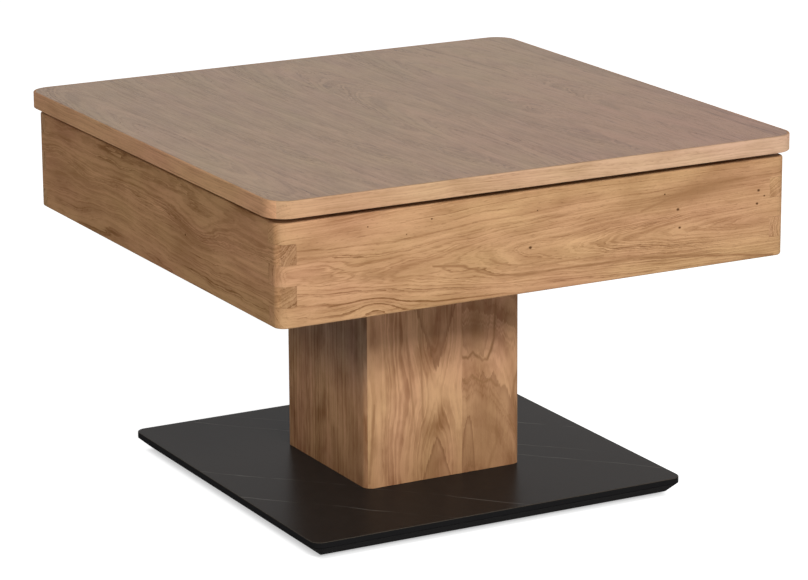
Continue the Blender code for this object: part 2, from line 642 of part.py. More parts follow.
def release_head_pieces(finishes, lift):
    """Open-topped head round the rod's end, the rocker on its pin and the valve pin below it."""
    side = HEAD_WIDTH / 2
    end = HEAD_LENGTH / 2
    cheek = side - HEAD_CHEEK
    head = block((-side, side), (-end, end), (HEAD_BOTTOM, HEAD_TOP))
    head = cut(head, block((-cheek, cheek), (HEAD_END_WALL - end, end + TRIM), (ROD_TOP, HEAD_TOP + TRIM)),
               rod(ROD_RADIUS + SEAT_GAP, HEAD_BOTTOM - TRIM, ROD_TOP + TRIM, TURNED_SIDES),
               along_y(shifted(rod(WIRE_HOLE, end - HEAD_END_WALL - TRIM, end + TRIM), y=WIRE_Z)),
               shifted(along_x(rod(PIN_HOLE, -side - TRIM, side + TRIM)), y=ROCKER_Y, z=ROCKER_Z))
    add_piece("release_head", head, finishes["aluminium"], lift)

    pin = shifted(along_x(rod(HINGE_PIN_RADIUS, -side, side)), y=ROCKER_Y, z=ROCKER_Z)
    add_piece("rocker_pin", pin, finishes["zinc"], lift, (0, ROCKER_Y, ROCKER_Z))

    wide = (-ROCKER_WIDTH / 2, ROCKER_WIDTH / 2)
    under = ROCKER_Z - ROCKER_HUB_RADIUS
    mast_half = ROCKER_ARM_THICKNESS / 2
    hub = shifted(along_x(rod(ROCKER_HUB_RADIUS, *wide, TURNED_SIDES)), y=ROCKER_Y, z=ROCKER_Z)
    arm = block(wide, (-ROCKER_NOSE, ROCKER_Y), (under, under + ROCKER_ARM_THICKNESS))
    mast = block(wide, (ROCKER_Y - mast_half, ROCKER_Y + mast_half), (ROCKER_Z, ROCKER_Z + ROCKER_MAST))
    slot_floor = WIRE_Z - WIRE_HOLE - RUN_GAP
    slot = block((-WIRE_HOLE, WIRE_HOLE), (ROCKER_Y - ROCKER_ARM_THICKNESS, ROCKER_Y + ROCKER_ARM_THICKNESS),
                 (slot_floor, ROCKER_Z + ROCKER_MAST + TRIM))
    bore = shifted(along_x(rod(PIN_HOLE, wide[0] - TRIM, wide[1] + TRIM)), y=ROCKER_Y, z=ROCKER_Z)
    rocker = cut(joined(hub, arm, mast), slot, bore)
    add_piece("rocker_lever", rocker, finishes["zinc"], lift, (0, ROCKER_Y, ROCKER_Z))

    shoulder = VALVE_PIN_TOP - VALVE_PIN_RADIUS
    valve = turned(((VALVE_PIN_RADIUS, ROD_TOP - VALVE_PIN_SEAT), (VALVE_PIN_RADIUS, shoulder),
                    (VALVE_PIN_TIP_RADIUS, VALVE_PIN_TOP)), SMALL_SIDES)
    add_piece("valve_pin", valve, finishes["chrome"], lift, (0, 0, ROD_TOP))


def paddle_pieces(finishes, lift):
    """Sheet bracket on the front apron, its pin and screws, and the hand paddle."""
    back = -APRON_INNER + SEAT_GAP
    face = back + BRACKET_SHEET
    side = BRACKET_WIDTH / 2
    tab_low = HINGE_Z + BRACKET_TAB_ABOVE_PIN
    tab_half = BRACKET_TAB_WIDTH / 2
    sheet = block((-side, side), (back, face), (HINGE_Z - BRACKET_BELOW_PIN, HINGE_Z + BRACKET_ABOVE_PIN))
    ears = [block(ear, (back, HINGE_Y + BRACKET_EAR), (HINGE_Z - BRACKET_EAR, HINGE_Z + BRACKET_EAR))
            for ear in ((-side, BRACKET_SHEET - side), (side - BRACKET_SHEET, side))]
    tab = block((-tab_half, tab_half), (back, HINGE_Y), (tab_low, tab_low + BRACKET_SHEET))
    holes = [shifted(along_x(rod(PIN_HOLE, -side - TRIM, side + TRIM)), y=HINGE_Y, z=HINGE_Z),
             shifted(rod(WIRE_HOLE, tab_low - TRIM, tab_low + BRACKET_SHEET + TRIM), y=PADDLE_WIRE_Y)]
    screw_places = [(sign * BRACKET_SCREW_SPACING / 2, HINGE_Z + BRACKET_SCREW_ABOVE_PIN) for sign in (-1, 1)]
    holes += [along_y(shifted(rod(SCREW_HOLE, -face - TRIM, -back + TRIM), x, z)) for x, z in screw_places]
    add_piece("paddle_bracket", cut(joined(sheet, *ears, tab), *holes), finishes["black_steel"], lift)

    for number, (x, z) in enumerate(screw_places, 1):
        fastener = wood_screw(BRACKET_SHEET + SEAT_GAP + SCREW_BITE)
        fastener = along_y(shifted(fastener, x, z, -face - SEAT_GAP))
        add_piece(f"bracket_screw_{number}", fastener, finishes["zinc"], lift)
    pin = shifted(along_x(rod(HINGE_PIN_RADIUS, -side, side)), y=HINGE_Y, z=HINGE_Z)
    add_piece("paddle_pin", pin, finishes["zinc"], lift, (0, HINGE_Y, HINGE_Z))

    inside = side - BRACKET_SHEET - SEAT_GAP
    thick = (HINGE_Z - PADDLE_THICKNESS / 2, HINGE_Z + PADDLE_THICKNESS / 2)
    wing = PADDLE_WIDTH / 2
    tip = PADDLE_WIDTH / 4
    neck = HINGE_Y + PADDLE_NECK
    end = HINGE_Y + PADDLE_LENGTH
    outline = [(-inside, HINGE_Y), (inside, HINGE_Y), (inside, neck), (wing, neck + wing - inside)]
    for sign, start in ((1, 0), (-1, 90)):
        for step in range(CORNER_STEPS + 1):
            angle = math.radians(start + 90 * step / CORNER_STEPS)
            outline.append((sign * (wing - tip) + tip * math.cos(angle), end - tip + tip * math.sin(angle)))
    outline += [(-wing, neck + wing - inside), (-inside, neck)]
    horn = PADDLE_HORN_WIDTH / 2
    horn_end = PADDLE_WIRE_Y - WIRE_HOLE
    barrel = shifted(along_x(rod(PADDLE_BARREL_RADIUS, -inside, inside, TURNED_SIDES)), y=HINGE_Y, z=HINGE_Z)
    lever = joined(barrel, prism(outline, *thick), block((-horn, horn), (horn_end, HINGE_Y), thick))
    slot = block((-WIRE_HOLE, WIRE_HOLE), (horn_end - TRIM, PADDLE_WIRE_Y + WIRE_HOLE + RUN_GAP),
                 (thick[0] - TRIM, thick[1] + TRIM))
    bore = shifted(along_x(rod(PIN_HOLE, -side, side)), y=HINGE_Y, z=HINGE_Z)
    add_piece("release_paddle", cut(lever, slot, bore), finishes["black_plastic"], lift,
              (0, HINGE_Y, HINGE_Z))


def smooth_route(points):
    """Points along a Catmull-Rom curve through the (y, z) points, CABLE_STEPS to a stretch."""
    padded = [points[0], *points, points[-1]]
    route = []
    for before, start, end, after in zip(padded, padded[1:], padded[2:], padded[3:]):
        before, start, end, after = map(Vector, (before, start, end, after))
        for step in range(CABLE_STEPS):
            t = step / CABLE_STEPS
            route.append(0.5 * (2 * start + (end - before) * t
                                + (2 * before - 5 * start + 4 * end - after) * t * t
                                + (3 * start - before - 3 * end + after) * t ** 3))
    return [*route, Vector(points[-1])]


def cable_loop(point, direction, radius):
    """Circle round a point of the cable's (y, z) route, square to its direction."""
    across = Vector((direction.y, -direction.x))
    loop = []
    for k in range(CABLE_SIDES):
        angle = 2 * math.pi * k / CABLE_SIDES
        offset = across * (radius * math.sin(angle))
        loop.append((radius * math.cos(angle), point.x + offset.x, point.y + offset.y))
    return loop


def cable_pieces(finishes, lift):
    """Cable from the rocker to the paddle, with a ferrule at each end and clips under the top."""
    head_end = -HEAD_LENGTH / 2 - SEAT_GAP
    tab_top = HINGE_Z + BRACKET_TAB_ABOVE_PIN + BRACKET_SHEET + SEAT_GAP
    clip_z = TOP_UNDERSIDE - CLIP_DROP
    first_clip = -PLATE_SIDE / 2 - CLIP_SPACING / 2
    last_clip = first_clip - CLIP_SPACING
    bend = CABLE_BEND
    route = smooth_route([
        (head_end - FERRULE_LENGTH, WIRE_Z),
        (-INNER_TUBE_HALF - CABLE_BEND / 2, WIRE_Z),
        (first_clip + CLIP_LENGTH, clip_z),
        (first_clip - CLIP_LENGTH, clip_z),
        (last_clip - CLIP_LENGTH, clip_z),
        (last_clip - 2.5 * CLIP_LENGTH, clip_z),
        (PADDLE_WIRE_Y + 0.30 * bend, clip_z - 0.30 * bend),
        (PADDLE_WIRE_Y, clip_z - 1.1 * bend),
        (PADDLE_WIRE_Y, tab_top + FERRULE_LENGTH),
    ])
    inward = Vector((-1, 0))
    down = Vector((0, -1))
    loops = [cable_loop(Vector((y, WIRE_Z)), inward, radius) for y, radius in (
        (ROCKER_Y + ROCKER_ARM_THICKNESS, WIRE_RADIUS), (head_end, WIRE_RADIUS),
        (head_end, FERRULE_RADIUS), (head_end - FERRULE_LENGTH, FERRULE_RADIUS))]
    for k, point in enumerate(route):
        ahead = route[min(k + 1, len(route) - 1)] - route[max(k - 1, 0)]
        direction = inward if k == 0 else down if k == len(route) - 1 else ahead.normalized()
        loops.append(cable_loop(point, direction, SHEATH_RADIUS))
    loops += [cable_loop(Vector((PADDLE_WIRE_Y, z)), down, radius) for z, radius in (
        (tab_top + FERRULE_LENGTH, FERRULE_RADIUS), (tab_top, FERRULE_RADIUS), (tab_top, WIRE_RADIUS),
        (HINGE_Z - PADDLE_THICKNESS, WIRE_RADIUS))]
    add_piece("release_cable", loft(loops), finishes["black_plastic"], lift)

    for number, y in enumerate((first_clip, last_clip), 1):
        low = clip_z - SHEATH_HOLE - CLIP_WALL
        clip = block((-CLIP_WIDTH / 2, CLIP_WIDTH / 2), (y - CLIP_LENGTH / 2, y + CLIP_LENGTH / 2),
                     (low, TOP_UNDERSIDE - SEAT_GAP))
        bore = along_y(shifted(rod(SHEATH_HOLE, -y - CLIP_LENGTH, -y + CLIP_LENGTH), y=clip_z))
        add_piece(f"cable_clip_{number}", cut(clip, bore), finishes["black_plastic"], lift)


def main():
    for old in list(bpy.data.objects):
        bpy.data.objects.remove(old)
    finishes = {
        "oak": finish("oak", (0.53, 0.34, 0.18), 0.5),
        "oak_veneer": finish("oak_veneer", (0.38, 0.28, 0.20), 0.42),
        "beech": finish("beech", (0.60, 0.42, 0.27), 0.6),
        "ceramic": finish("ceramic", (0.05, 0.05, 0.05), 0.38),
        "black_board": finish("black_board", (0.016, 0.016, 0.016), 0.6),
        "black_plastic": finish("black_plastic", (0.022, 0.022, 0.022), 0.5),
        "black_steel": finish("black_steel", (0.028, 0.028, 0.030), 0.42, 0.4),
        "steel": finish("steel", (0.40, 0.40, 0.41), 0.4, 1.0),
        "zinc": finish("zinc", (0.58, 0.58, 0.60), 0.35, 1.0),
        "chrome": finish("chrome", (0.72, 0.72, 0.74), 0.12, 1.0),
        "aluminium": finish("aluminium", (0.66, 0.67, 0.68), 0.38, 1.0),
    }
    lift = axis_empty("table_lift_axis", (0, 0, TOP_UNDERSIDE))
    base_pieces(finishes)
    column_pieces(finishes)
    gas_spring_fixed_pieces(finishes)
    gas_spring_moving_pieces(finishes, lift)
    top_pieces(finishes, lift)
    apron_pieces(finishes, lift)
    lift_steel_pieces(finishes, lift)
    release_head_pieces(finishes, lift)
    paddle_pieces(finishes, lift)
    cable_pieces(finishes, lift)


main()
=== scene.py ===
"""Height-adjustable coffee table in oak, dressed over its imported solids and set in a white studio.

The solids keep their shapes and get their materials here, and thin battens are added that close the
shadow gap under the top from behind. Each oak board is a solid texture: growth rings round a heart line
that lies behind the board's face, so the figure runs on over the edges and shows as end grain in the
fingers. Metres, +Z up, -Y is the front.
"""

import json
import math
from dataclasses import dataclass

import bmesh
import bpy
from mathutils import Matrix, Vector


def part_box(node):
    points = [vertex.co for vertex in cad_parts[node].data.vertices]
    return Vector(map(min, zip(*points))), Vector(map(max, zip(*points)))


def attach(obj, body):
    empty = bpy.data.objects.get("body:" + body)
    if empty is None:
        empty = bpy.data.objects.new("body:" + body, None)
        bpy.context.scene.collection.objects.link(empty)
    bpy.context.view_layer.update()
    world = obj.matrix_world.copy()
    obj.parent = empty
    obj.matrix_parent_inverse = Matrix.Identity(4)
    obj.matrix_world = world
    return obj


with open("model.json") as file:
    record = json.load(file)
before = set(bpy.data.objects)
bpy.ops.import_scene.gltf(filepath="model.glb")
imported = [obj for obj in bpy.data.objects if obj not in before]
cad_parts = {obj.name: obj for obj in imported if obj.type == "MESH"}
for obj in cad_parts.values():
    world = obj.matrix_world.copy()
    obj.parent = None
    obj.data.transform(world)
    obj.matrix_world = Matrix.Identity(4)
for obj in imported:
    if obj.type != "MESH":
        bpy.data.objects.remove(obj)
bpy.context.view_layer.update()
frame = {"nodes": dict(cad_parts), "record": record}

# Camera, fitted to the edges of the table in the photograph
PHOTO_WIDTH = 808
SENSOR_WIDTH = 36.0
FOCAL_LENGTH_PX = 3539.9
CAMERA_AZIMUTH = math.radians(-28.457)
CAMERA_ELEVATION = math.radians(15.257)
CAMERA_ROLL = math.radians(-0.313)
CAMERA_DISTANCE = 4.7225
CAMERA_TARGET = Vector((0, 0, 0.28))
CAMERA_SLIDE = (0.0033, -0.0240)

# Studio
KEY_AZIMUTH = math.radians(-8)
KEY_ELEVATION = math.radians(28)
KEY_DISTANCE = 5.0
KEY_WIDTH = 1.67
KEY_HEIGHT = 0.75
KEY_POWER = 168.0
HORIZON_LIGHT = 1.10
ZENITH_LIGHT = 0.15
SKY_FADE = (0.18, 0.45)
FLOOR_SIDE = 16.0
FLOOR_ALBEDO = 0.55
FLOOR_GLOW = 0.93
# Painted contact shadow on the floor: how near the table its glow dims, and by what share
PAINTED_SHADOW_REACH = 0.0085
PAINTED_SHADOW_DEPTH = 0.70

# Edges that turn by less are shaded as one curved face, once facets are joined at their corners
SHARP_ANGLE = math.radians(12)
WELD_DISTANCE = 0.00001

# Battens behind the apron's upper edge: they block the view through the shadow gap, and their black is
# painted shade
BATTEN_THICKNESS = 0.008
BATTEN_HEIGHT = 0.0155
BATTEN_ROUNDING = 0.001
CLEARANCE = 0.0003

# Sizes taken from the frame
APRON_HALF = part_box("apron_front")[1].x
COLUMN_HALF = -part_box("column_panel_front")[0].y
TOP_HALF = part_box("top_edge_band")[1].x
TABLE_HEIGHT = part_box("top_panel")[1].z
TOP_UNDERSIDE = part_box("top_panel")[0].z
APRON_INNER_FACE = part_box("apron_front")[1].y
BLOCK_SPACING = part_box("corner_block_2")[0].x * 2.0

# Each side's directions, seen from outside: to the right, and into the wood
SIDES = {"front": ("+X", "+Y"), "right": ("+Y", "-X"), "rear": ("-X", "-Y"), "left": ("-Y", "+X")}


@dataclass
class Figure:
    """How a board was cut from its log, as seen on its outer face.

    heart is the place of the heart line across the board, depth its distance behind the face where the
    board's coordinate along the grain is 0, and slope how fast that distance grows along the grain.
    A swell is (along, across, length, width, rings): a local rise of the growth layers. A stain is
    (along, across, length, width, slope, darkening), and a knot (along, across, radius). A band is
    (along, across, length, width, gain), where the rings show more or less than elsewhere. fray is how
    far fibres carry the rings' edges to and fro, in rings, and ripple how far the layers wave. A flame
    is (along, across, length, width, power, darkening): a pointed arch of darker layers with its tip
    there, which opens downwards, or upwards where the length is negative, and whose half width grows
    with a power of the distance from the tip. teeth is the height of the zigzag along the flames' edges.
    A line is (width, darkening, points), a dark layer that runs through points (along, across). hue
    tints the board's faces. The end hue tints an apron board's end grain, and on the column it is
    painted shade that darkens the head of a board under the apron. end is how much darker an apron
    board's ends are. A darkening below 0 is a brightening.
    """
    heart: float
    depth: float
    slope: float
    ring: float = 0.007
    wander: float = 0.010
    fray: float = 0.5
    ripple: float = 1.1
    swells: tuple = ()
    bands: tuple = ()
    stains: tuple = ()
    flames: tuple = ()
    teeth: float = 0.0
    lines: tuple = ()
    knots: tuple = ()
    hue: tuple = (1.0, 1.0, 1.0)
    end_tint_and_head_shade: tuple = (1.0, 1.0, 1.0)
    end: float = 0.05


@dataclass
class Wood:
    """Colours of a kind of wood, and how strongly its features show.

    fineness is streaks to the metre across the grain, and run the same along it.
    """
    light: tuple
    dark: tuple
    pore: tuple
    rings: float = 0.60
    streaks: float = 1.0
    fineness: float = 150.0
    run: float = 13.0
    pores: float = 0.48
    roughness: float = 0.48
    relief: float = 0.00012
    ior: float = 1.035


OAK = Wood(light=(0.535, 0.320, 0.171), dark=(0.300, 0.154, 0.070), pore=(0.200, 0.092, 0.038))
COLUMN_OAK = Wood(light=(0.600, 0.356, 0.194), dark=(0.280, 0.134, 0.062), pore=(0.200, 0.092, 0.038),
                  rings=0.40, streaks=1.2, fineness=50.0, run=14.0, pores=0.22)
EDGE_OAK = Wood(light=(0.578, 0.371, 0.227), dark=(0.390, 0.236, 0.128), pore=(0.260, 0.134, 0.064),
                rings=0.30, streaks=1.0, pores=0.50)
VENEER = Wood(light=(0.420, 0.250, 0.128), dark=(0.260, 0.140, 0.066), pore=(0.140, 0.064, 0.030),
              rings=0.50, streaks=0.80, pores=0.60, roughness=0.42, relief=0.00006, ior=1.40)
BEECH = Wood(light=(0.60, 0.42, 0.27), dark=(0.50, 0.33, 0.20), pore=(0.36, 0.22, 0.12), rings=0.3,
             roughness=0.6)

# Noises in wood, as features to the metre along and across the grain
SWAY = (4.0, 12.0)
RIPPLE = (14.0, 48.0)
NEEDLES = (24.0, 480.0)
DRIFT = (5.0, 9.0)
SHOW = (5.0, 15.0)
CLOUDS_ACROSS = 28.0
DASHES = (22.0, 300.0)
VESSELS = (120.0, 1700.0)
FLECKS = (35.0, 380.0)
WARMTH = (5.0, 16.0)
JAGS = (6.0, 75.0)
SPLINTERS = (20.0, 420.0)
FRAYS = (18.0, 160.0)

# Rings: how far fibres stray, how the rings' widths and ages change from ring to ring, how much rings
# show, and the share of a ring over which its dark early wood fades
DRIFT_REACH = 0.03
UNEVEN_RATE = 0.5
UNEVEN_REACH = 1.2
AGE_RATE = 0.30
AGE_START = 7.0
SHOW_EDGE = (-0.2, 0.25)
SHOW_LEAST = 0.4
SHOW_SPAN = 0.8
EARLY_WOOD = 0.65
FAINTEST_RING = 0.2
MIDDLE_TONE = 0.25
CLOUD_SHARE = 1.5

# Pores in rows and single ones, and pale flecks: the levels of noise between which they come in, how
# much more pores keep to early wood, and what they do to the surface
DASH_EDGE = (0.10, 0.32)
DASHES_IN_RINGS = 0.22
VESSEL_EDGE = (0.12, 0.24)
VESSELS_IN_RINGS = 0.15
VESSEL_SHARE = 0.7
FLECK_EDGE = (0.16, 0.30)
FLECK_SHARE = 0.25
FLECK_GAIN = 1.25
FLECK_START = 9.0
VESSEL_ROUGHNESS = 0.15
FIBRE_ROUGHNESS = 0.10
FIBRE_HEIGHT = 0.5
DASH_HEIGHT = -0.5

# Slow changes of hue
ROSY = (1.03, 0.93, 1.00)
GOLDEN = (0.98, 1.03, 0.91)
HUE_SPREAD = 1.4
WARMTH_START = 3.0

# Flames, as shares of their own size: the dark rim, what is left inside it, and the frayed edges
FLAME_COLOUR = (0.215, 0.098, 0.046)
FLAME_EDGE = 0.06
FLAME_RIM = 0.35
FLAME_CORE = 0.35
SPLINTERED_TIP = 0.25
SPLINTERED_SIDE = 0.15
SPLINTERED_CORE = 0.6
TOOTH_WIDTH = 0.0085
TOOTH_SWAY = 0.02

# Wisps, drawn lines and knots
WISP_COLOUR = (0.720, 0.430, 0.230)
LINE_FRAY = (0.006, 0.004)
LINE_BREAKS = 45.0
LINE_BREAK_EDGE = (-0.35, 0.15)
LINE_LEAST = 0.5
KNOT_COLOUR = (0.110, 0.050, 0.020)
KNOT_STRETCH = 1.25
KNOT_EDGE = (0.05, 0.75)

# End grain: how square to the grain a face is where it comes in, and how much more its rings show
END_FACING = (0.6, 0.9)
END_CLEAR = 0.2

APRON_FIGURES = {
    "front": Figure(
        heart=0.392, depth=0.0284, slope=-0.075, ring=0.0040, wander=0.009, ripple=1.7,
        swells=((-0.360, 0.415, 0.100, 0.035, -3.5), (-0.235, 0.350, 0.030, 0.016, 2.4),
                (-0.016, 0.397, 0.026, 0.008, -1.0)),
        bands=((-0.060, 0.376, 0.080, 0.012, 1.0), (0.200, 0.358, 0.160, 0.008, 0.9),
               (0.110, 0.393, 0.090, 0.012, -0.5), (-0.220, 0.352, 0.100, 0.012, 0.8),
               (-0.280, 0.417, 0.030, 0.015, 0.8), (-0.050, 0.440, 0.250, 0.022, -0.4),
               (-0.350, 0.405, 0.040, 0.020, -0.6)),
        stains=((0.225, 0.440, 0.085, 0.011, 0.10, 0.85), (-0.228, 0.390, 0.026, 0.006, 0.0, 0.65),
                (-0.320, 0.428, 0.040, 0.010, -0.15, 0.35), (-0.020, 0.422, 0.050, 0.006, 0.20, 0.35),
                (0.346, 0.430, 0.004, 0.014, 0.0, -0.50), (0.300, 0.368, 0.060, 0.012, -0.05, -0.35),
                (-0.075, 0.444, 0.050, 0.008, 0.0, -0.40), (0.060, 0.398, 0.060, 0.004, 0.03, -0.40)),
        lines=((0.0030, 1.0, ((-0.153, 0.392), (-0.110, 0.387), (-0.088, 0.377), (-0.065, 0.369),
                              (-0.030, 0.365), (0.130, 0.365), (0.183, 0.361), (0.230, 0.356),
                              (0.274, 0.351), (0.345, 0.342))),
               (0.0026, 0.70, ((0.145, 0.424), (0.185, 0.435), (0.225, 0.444), (0.300, 0.449))),
               (0.0022, 0.65, ((-0.074, 0.390), (-0.055, 0.382), (-0.030, 0.377), (0.010, 0.374),
                               (0.090, 0.374)))),
        knots=((-0.016, 0.398, 0.0018), (0.200, 0.420, 0.0017), (0.203, 0.396, 0.0015),
               (0.322, 0.430, 0.0016), (0.320, 0.413, 0.0015), (0.331, 0.422, 0.0011),
               (-0.243, 0.453, 0.0008), (-0.155, 0.452, 0.0010), (-0.006, 0.444, 0.0008),
               (-0.190, 0.437, 0.0007), (0.180, 0.442, 0.0010)),
        end_tint_and_head_shade=(1.0, 0.95, 0.90), end=0.05),
    "left": Figure(
        heart=0.460, depth=0.020, slope=0.030, ring=0.0085, wander=0.030, ripple=1.5,
        swells=((-0.090, 0.370, 0.120, 0.045, 2.4), (0.150, 0.420, 0.050, 0.030, -1.8),
                (-0.290, 0.420, 0.060, 0.030, 1.4)),
        bands=((-0.200, 0.400, 0.180, 0.080, -0.3),),
        stains=((0.110, 0.408, 0.050, 0.006, -0.30, 0.60), (0.100, 0.380, 0.055, 0.024, 0.0, 0.45),
                (-0.290, 0.395, 0.050, 0.030, 0.0, 0.40), (-0.180, 0.372, 0.060, 0.008, 0.15, 0.45),
                (0.015, 0.421, 0.030, 0.003, -0.16, -0.50), (0.280, 0.405, 0.060, 0.003, 0.02, -0.45),
                (0.240, 0.388, 0.080, 0.004, -0.03, -0.35), (-0.170, 0.422, 0.030, 0.003, 0.12, -0.40)),
        knots=((0.105, 0.401, 0.0013),), hue=(1.0, 0.95, 0.90), end_tint_and_head_shade=(0.90, 0.90, 0.93), end=0.36),
    "rear": Figure(heart=0.420, depth=0.050, slope=0.070, ring=0.0065, wander=0.014,
                   swells=((0.160, 0.400, 0.080, 0.030, -2.0), (-0.220, 0.420, 0.090, 0.030, 1.6)),
                   stains=((-0.120, 0.385, 0.090, 0.010, 0.05, 0.50),),
                   knots=((0.090, 0.380, 0.0020), (-0.120, 0.432, 0.0016))),
    "right": Figure(heart=0.375, depth=0.040, slope=0.060, ring=0.0065, wander=0.014,
                    swells=((-0.150, 0.400, 0.070, 0.030, 1.8), (0.210, 0.390, 0.090, 0.030, -1.6)),
                    stains=((0.060, 0.430, 0.080, 0.009, -0.08, 0.50),),
                    knots=((0.130, 0.440, 0.0018), (-0.260, 0.370, 0.0015))),
}

# Column: where the two boards of a side meet, the heights over which painted shade comes in at its head,
# under the apron, and at its foot, the foot's painted shade, and the second board's tone and its number
# of rings beyond the first
COLUMN_SPLIT = 0.027
COLUMN_HEAD_SHADE = (0.12, 0.23)
COLUMN_FOOT_SHADE = (0.13, 0.00)
FOOT_SHADE_HUE = (0.70, 0.64, 0.58)
SECOND_BOARD_TONE = -0.12
SECOND_BOARD_RINGS = 40.0
# The head tints of the column's front and left boards are painted shade under the apron, darkest and
# greyest on the left panel
COLUMN_FIGURES = {
    "front": (
        Figure(heart=-0.014, depth=0.006, slope=0.0, ring=0.0120, wander=0.006, fray=0.2,
               swells=((0.143, -0.014, 0.050, 0.060, 1.3),),
               bands=((0.130, -0.060, 0.250, 0.060, -0.9), (0.130, -0.010, 0.050, 0.030, -0.8)),
               stains=((0.160, -0.050, 0.080, 0.0018, -0.10, 0.60),
                       (0.170, -0.034, 0.110, 0.0018, -0.03, 0.60),
                       (0.120, -0.098, 0.080, 0.004, -0.02, -0.50),
                       (0.145, -0.013, 0.022, 0.016, 0.0, -0.45),
                       (0.098, -0.0155, 0.015, 0.0011, 0.0, 0.65)),
               flames=((0.086, -0.011, 0.045, 0.0175, 0.85, 0.75),
                       (0.172, -0.012, -0.075, 0.026, 1.0, 0.60)),
               lines=((0.0030, 0.75, ((0.140, -0.105), (0.100, -0.107), (0.060, -0.109),
                                      (0.035, -0.111))),),
               end_tint_and_head_shade=(0.92, 0.88, 0.93)),
        Figure(heart=0.045, depth=0.050, slope=0.350, ring=0.0120, wander=0.012,
               swells=((0.125, 0.116, 0.034, 0.014, 2.0),),
               bands=((0.140, 0.060, 0.100, 0.060, -0.5),),
               stains=((0.228, 0.048, 0.026, 0.010, 0.0, 0.70), (0.085, 0.058, 0.055, 0.014, 0.0, 0.50),
                       (0.128, 0.092, 0.030, 0.008, 0.0, -0.45)),
               flames=((0.187, 0.047, -0.050, 0.024, 0.25, 0.35),
                       (0.156, 0.045, 0.060, 0.070, 0.30, 0.55),
                       (0.108, 0.036, 0.080, 0.011, 0.4, 0.65)),
               teeth=0.010,
               lines=((0.0034, 0.95, ((0.189, 0.027), (0.184, 0.035), (0.192, 0.043), (0.179, 0.057),
                                      (0.179, 0.065), (0.192, 0.071), (0.207, 0.075), (0.250, 0.078))),
                      (0.0034, 0.90, ((0.158, 0.027), (0.151, 0.034), (0.161, 0.042), (0.152, 0.051),
                                      (0.148, 0.060), (0.151, 0.070), (0.140, 0.080))),
                      (0.0036, 0.85, ((0.160, 0.114), (0.142, 0.107), (0.122, 0.104), (0.107, 0.107),
                                      (0.096, 0.115))),
                      (0.0030, 0.80, ((0.096, 0.098), (0.082, 0.103), (0.066, 0.111))),
                      (0.0040, 0.75, ((0.025, 0.066), (0.047, 0.073), (0.062, 0.080), (0.085, 0.079)))),
               end_tint_and_head_shade=(0.92, 0.88, 0.93))),
    "left": (Figure(heart=-0.060, depth=0.012, slope=0.02, ring=0.0080, fray=0.2,
                    hue=(0.93, 0.90, 0.90), end_tint_and_head_shade=(0.46, 0.49, 0.61)),
             Figure(heart=0.140, depth=0.030, slope=-0.03, ring=0.0080, fray=0.2,
                    hue=(0.93, 0.90, 0.90), end_tint_and_head_shade=(0.46, 0.49, 0.61))),
    "rear": (Figure(heart=0.000, depth=0.020, slope=0.09, ring=0.0060),
             Figure(heart=0.070, depth=0.030, slope=-0.05, ring=0.0060)),
    "right": (Figure(heart=-0.050, depth=0.020, slope=-0.07, ring=0.0060),
              Figure(heart=0.065, depth=0.030, slope=0.06, ring=0.0060)),
}

# Staves of the veneer: their width, the place of their joints as a share of it, and how far the staves
# differ in their place along and across the log and in tone
STAVE_WIDTH = 0.094
STAVE_START = 0.35
STAVE_SHIFT = 0.8
STAVE_CUT = 0.12
STAVE_TONE = 0.35
VENEER_FIGURE = Figure(heart=0.0, depth=0.02, slope=0.11, ring=0.008)
EDGE_FIGURE = Figure(heart=0.440, depth=0.030, slope=0.012, ring=0.0050)
BEECH_FIGURE = Figure(heart=0.2, depth=0.3, slope=0.02, ring=0.004)

# The veneer is redder at the right front corner, and the edge band changes from left to right. The
# band's sides get a warmer tint, which is painted warm light
BLUSH = (0.93, 0.78, 0.82)
BLUSH_PLACE = (0.33, -0.30)
BLUSH_SIZE = (0.35, 0.30)
BAND_HUES = ((0.95, 0.93, 0.85), (1.06, 1.09, 1.25))
BAND_SIDE_PAINTED_LIGHT = (1.12, 1.00, 0.92)

# Veins of the slab, all at one angle in plan: a point on each, its width and its brightness
VEIN_ANGLE = math.radians(-47)
VEINS = ((-0.205, -0.010, 0.0020, 1.0), (-0.150, -0.190, 0.0018, 0.9), (0.235, -0.187, 0.0020, 0.8),
         (0.060, 0.200, 0.0018, 0.8), (-0.100, 0.235, 0.0014, 0.6))
VEIN_SWAY = 0.022
VEIN_BREAK_EDGE = (-0.12, 0.25)
VEIN_SHARE = 0.7
VEIN_COLOUR = (0.20, 0.185, 0.165)

# The slab's colours on its face, its rounded edge and its sides, and how these are told by their slope
SLAB_COLOURS = ((0.0205, 0.0160, 0.0136), (0.0345, 0.0278, 0.0240))
SLAB_EDGE_COLOUR = (0.085, 0.072, 0.056)
SLAB_SIDE_COLOUR = (0.0105, 0.0102, 0.0105)
FACE_SLOPE = (0.9, 1.0)
EDGE_SLOPES = ((0.15, 0.5), (0.98, 0.85))
SIDE_SLOPE = (0.10, 0.0)
SLAB_ROUGHNESS = 0.30
MOTTLE_ROUGHNESS = 0.08
SIDE_ROUGHNESS = 0.50
MATT_SLOPE = (0.9, 0.0)
SLAB_GRIT = 0.00003
SLAB_IOR = 1.085

# Painted and moulded surfaces: how far colour and roughness differ from place to place, and how much
# the fine grain adds to the clouds of colour
PAINT_SPREAD = 0.25
PAINT_ROUGHNESS_SPREAD = 0.15
PAINT_GRAIN_SHARE = 0.4

# Metal: fine lines to the metre, their depth, how far they are drawn out, and what they and a dull
# bloom do to colour and roughness
METAL_LINES = 900.0
METAL_LINE_DEPTH = 0.00001
DRAWN = 30.0
BLOOM_GAIN = 0.82
BLOOM_ROUGHNESS = 0.12
LINE_ROUGHNESS = 0.10


# Formulas in node trees

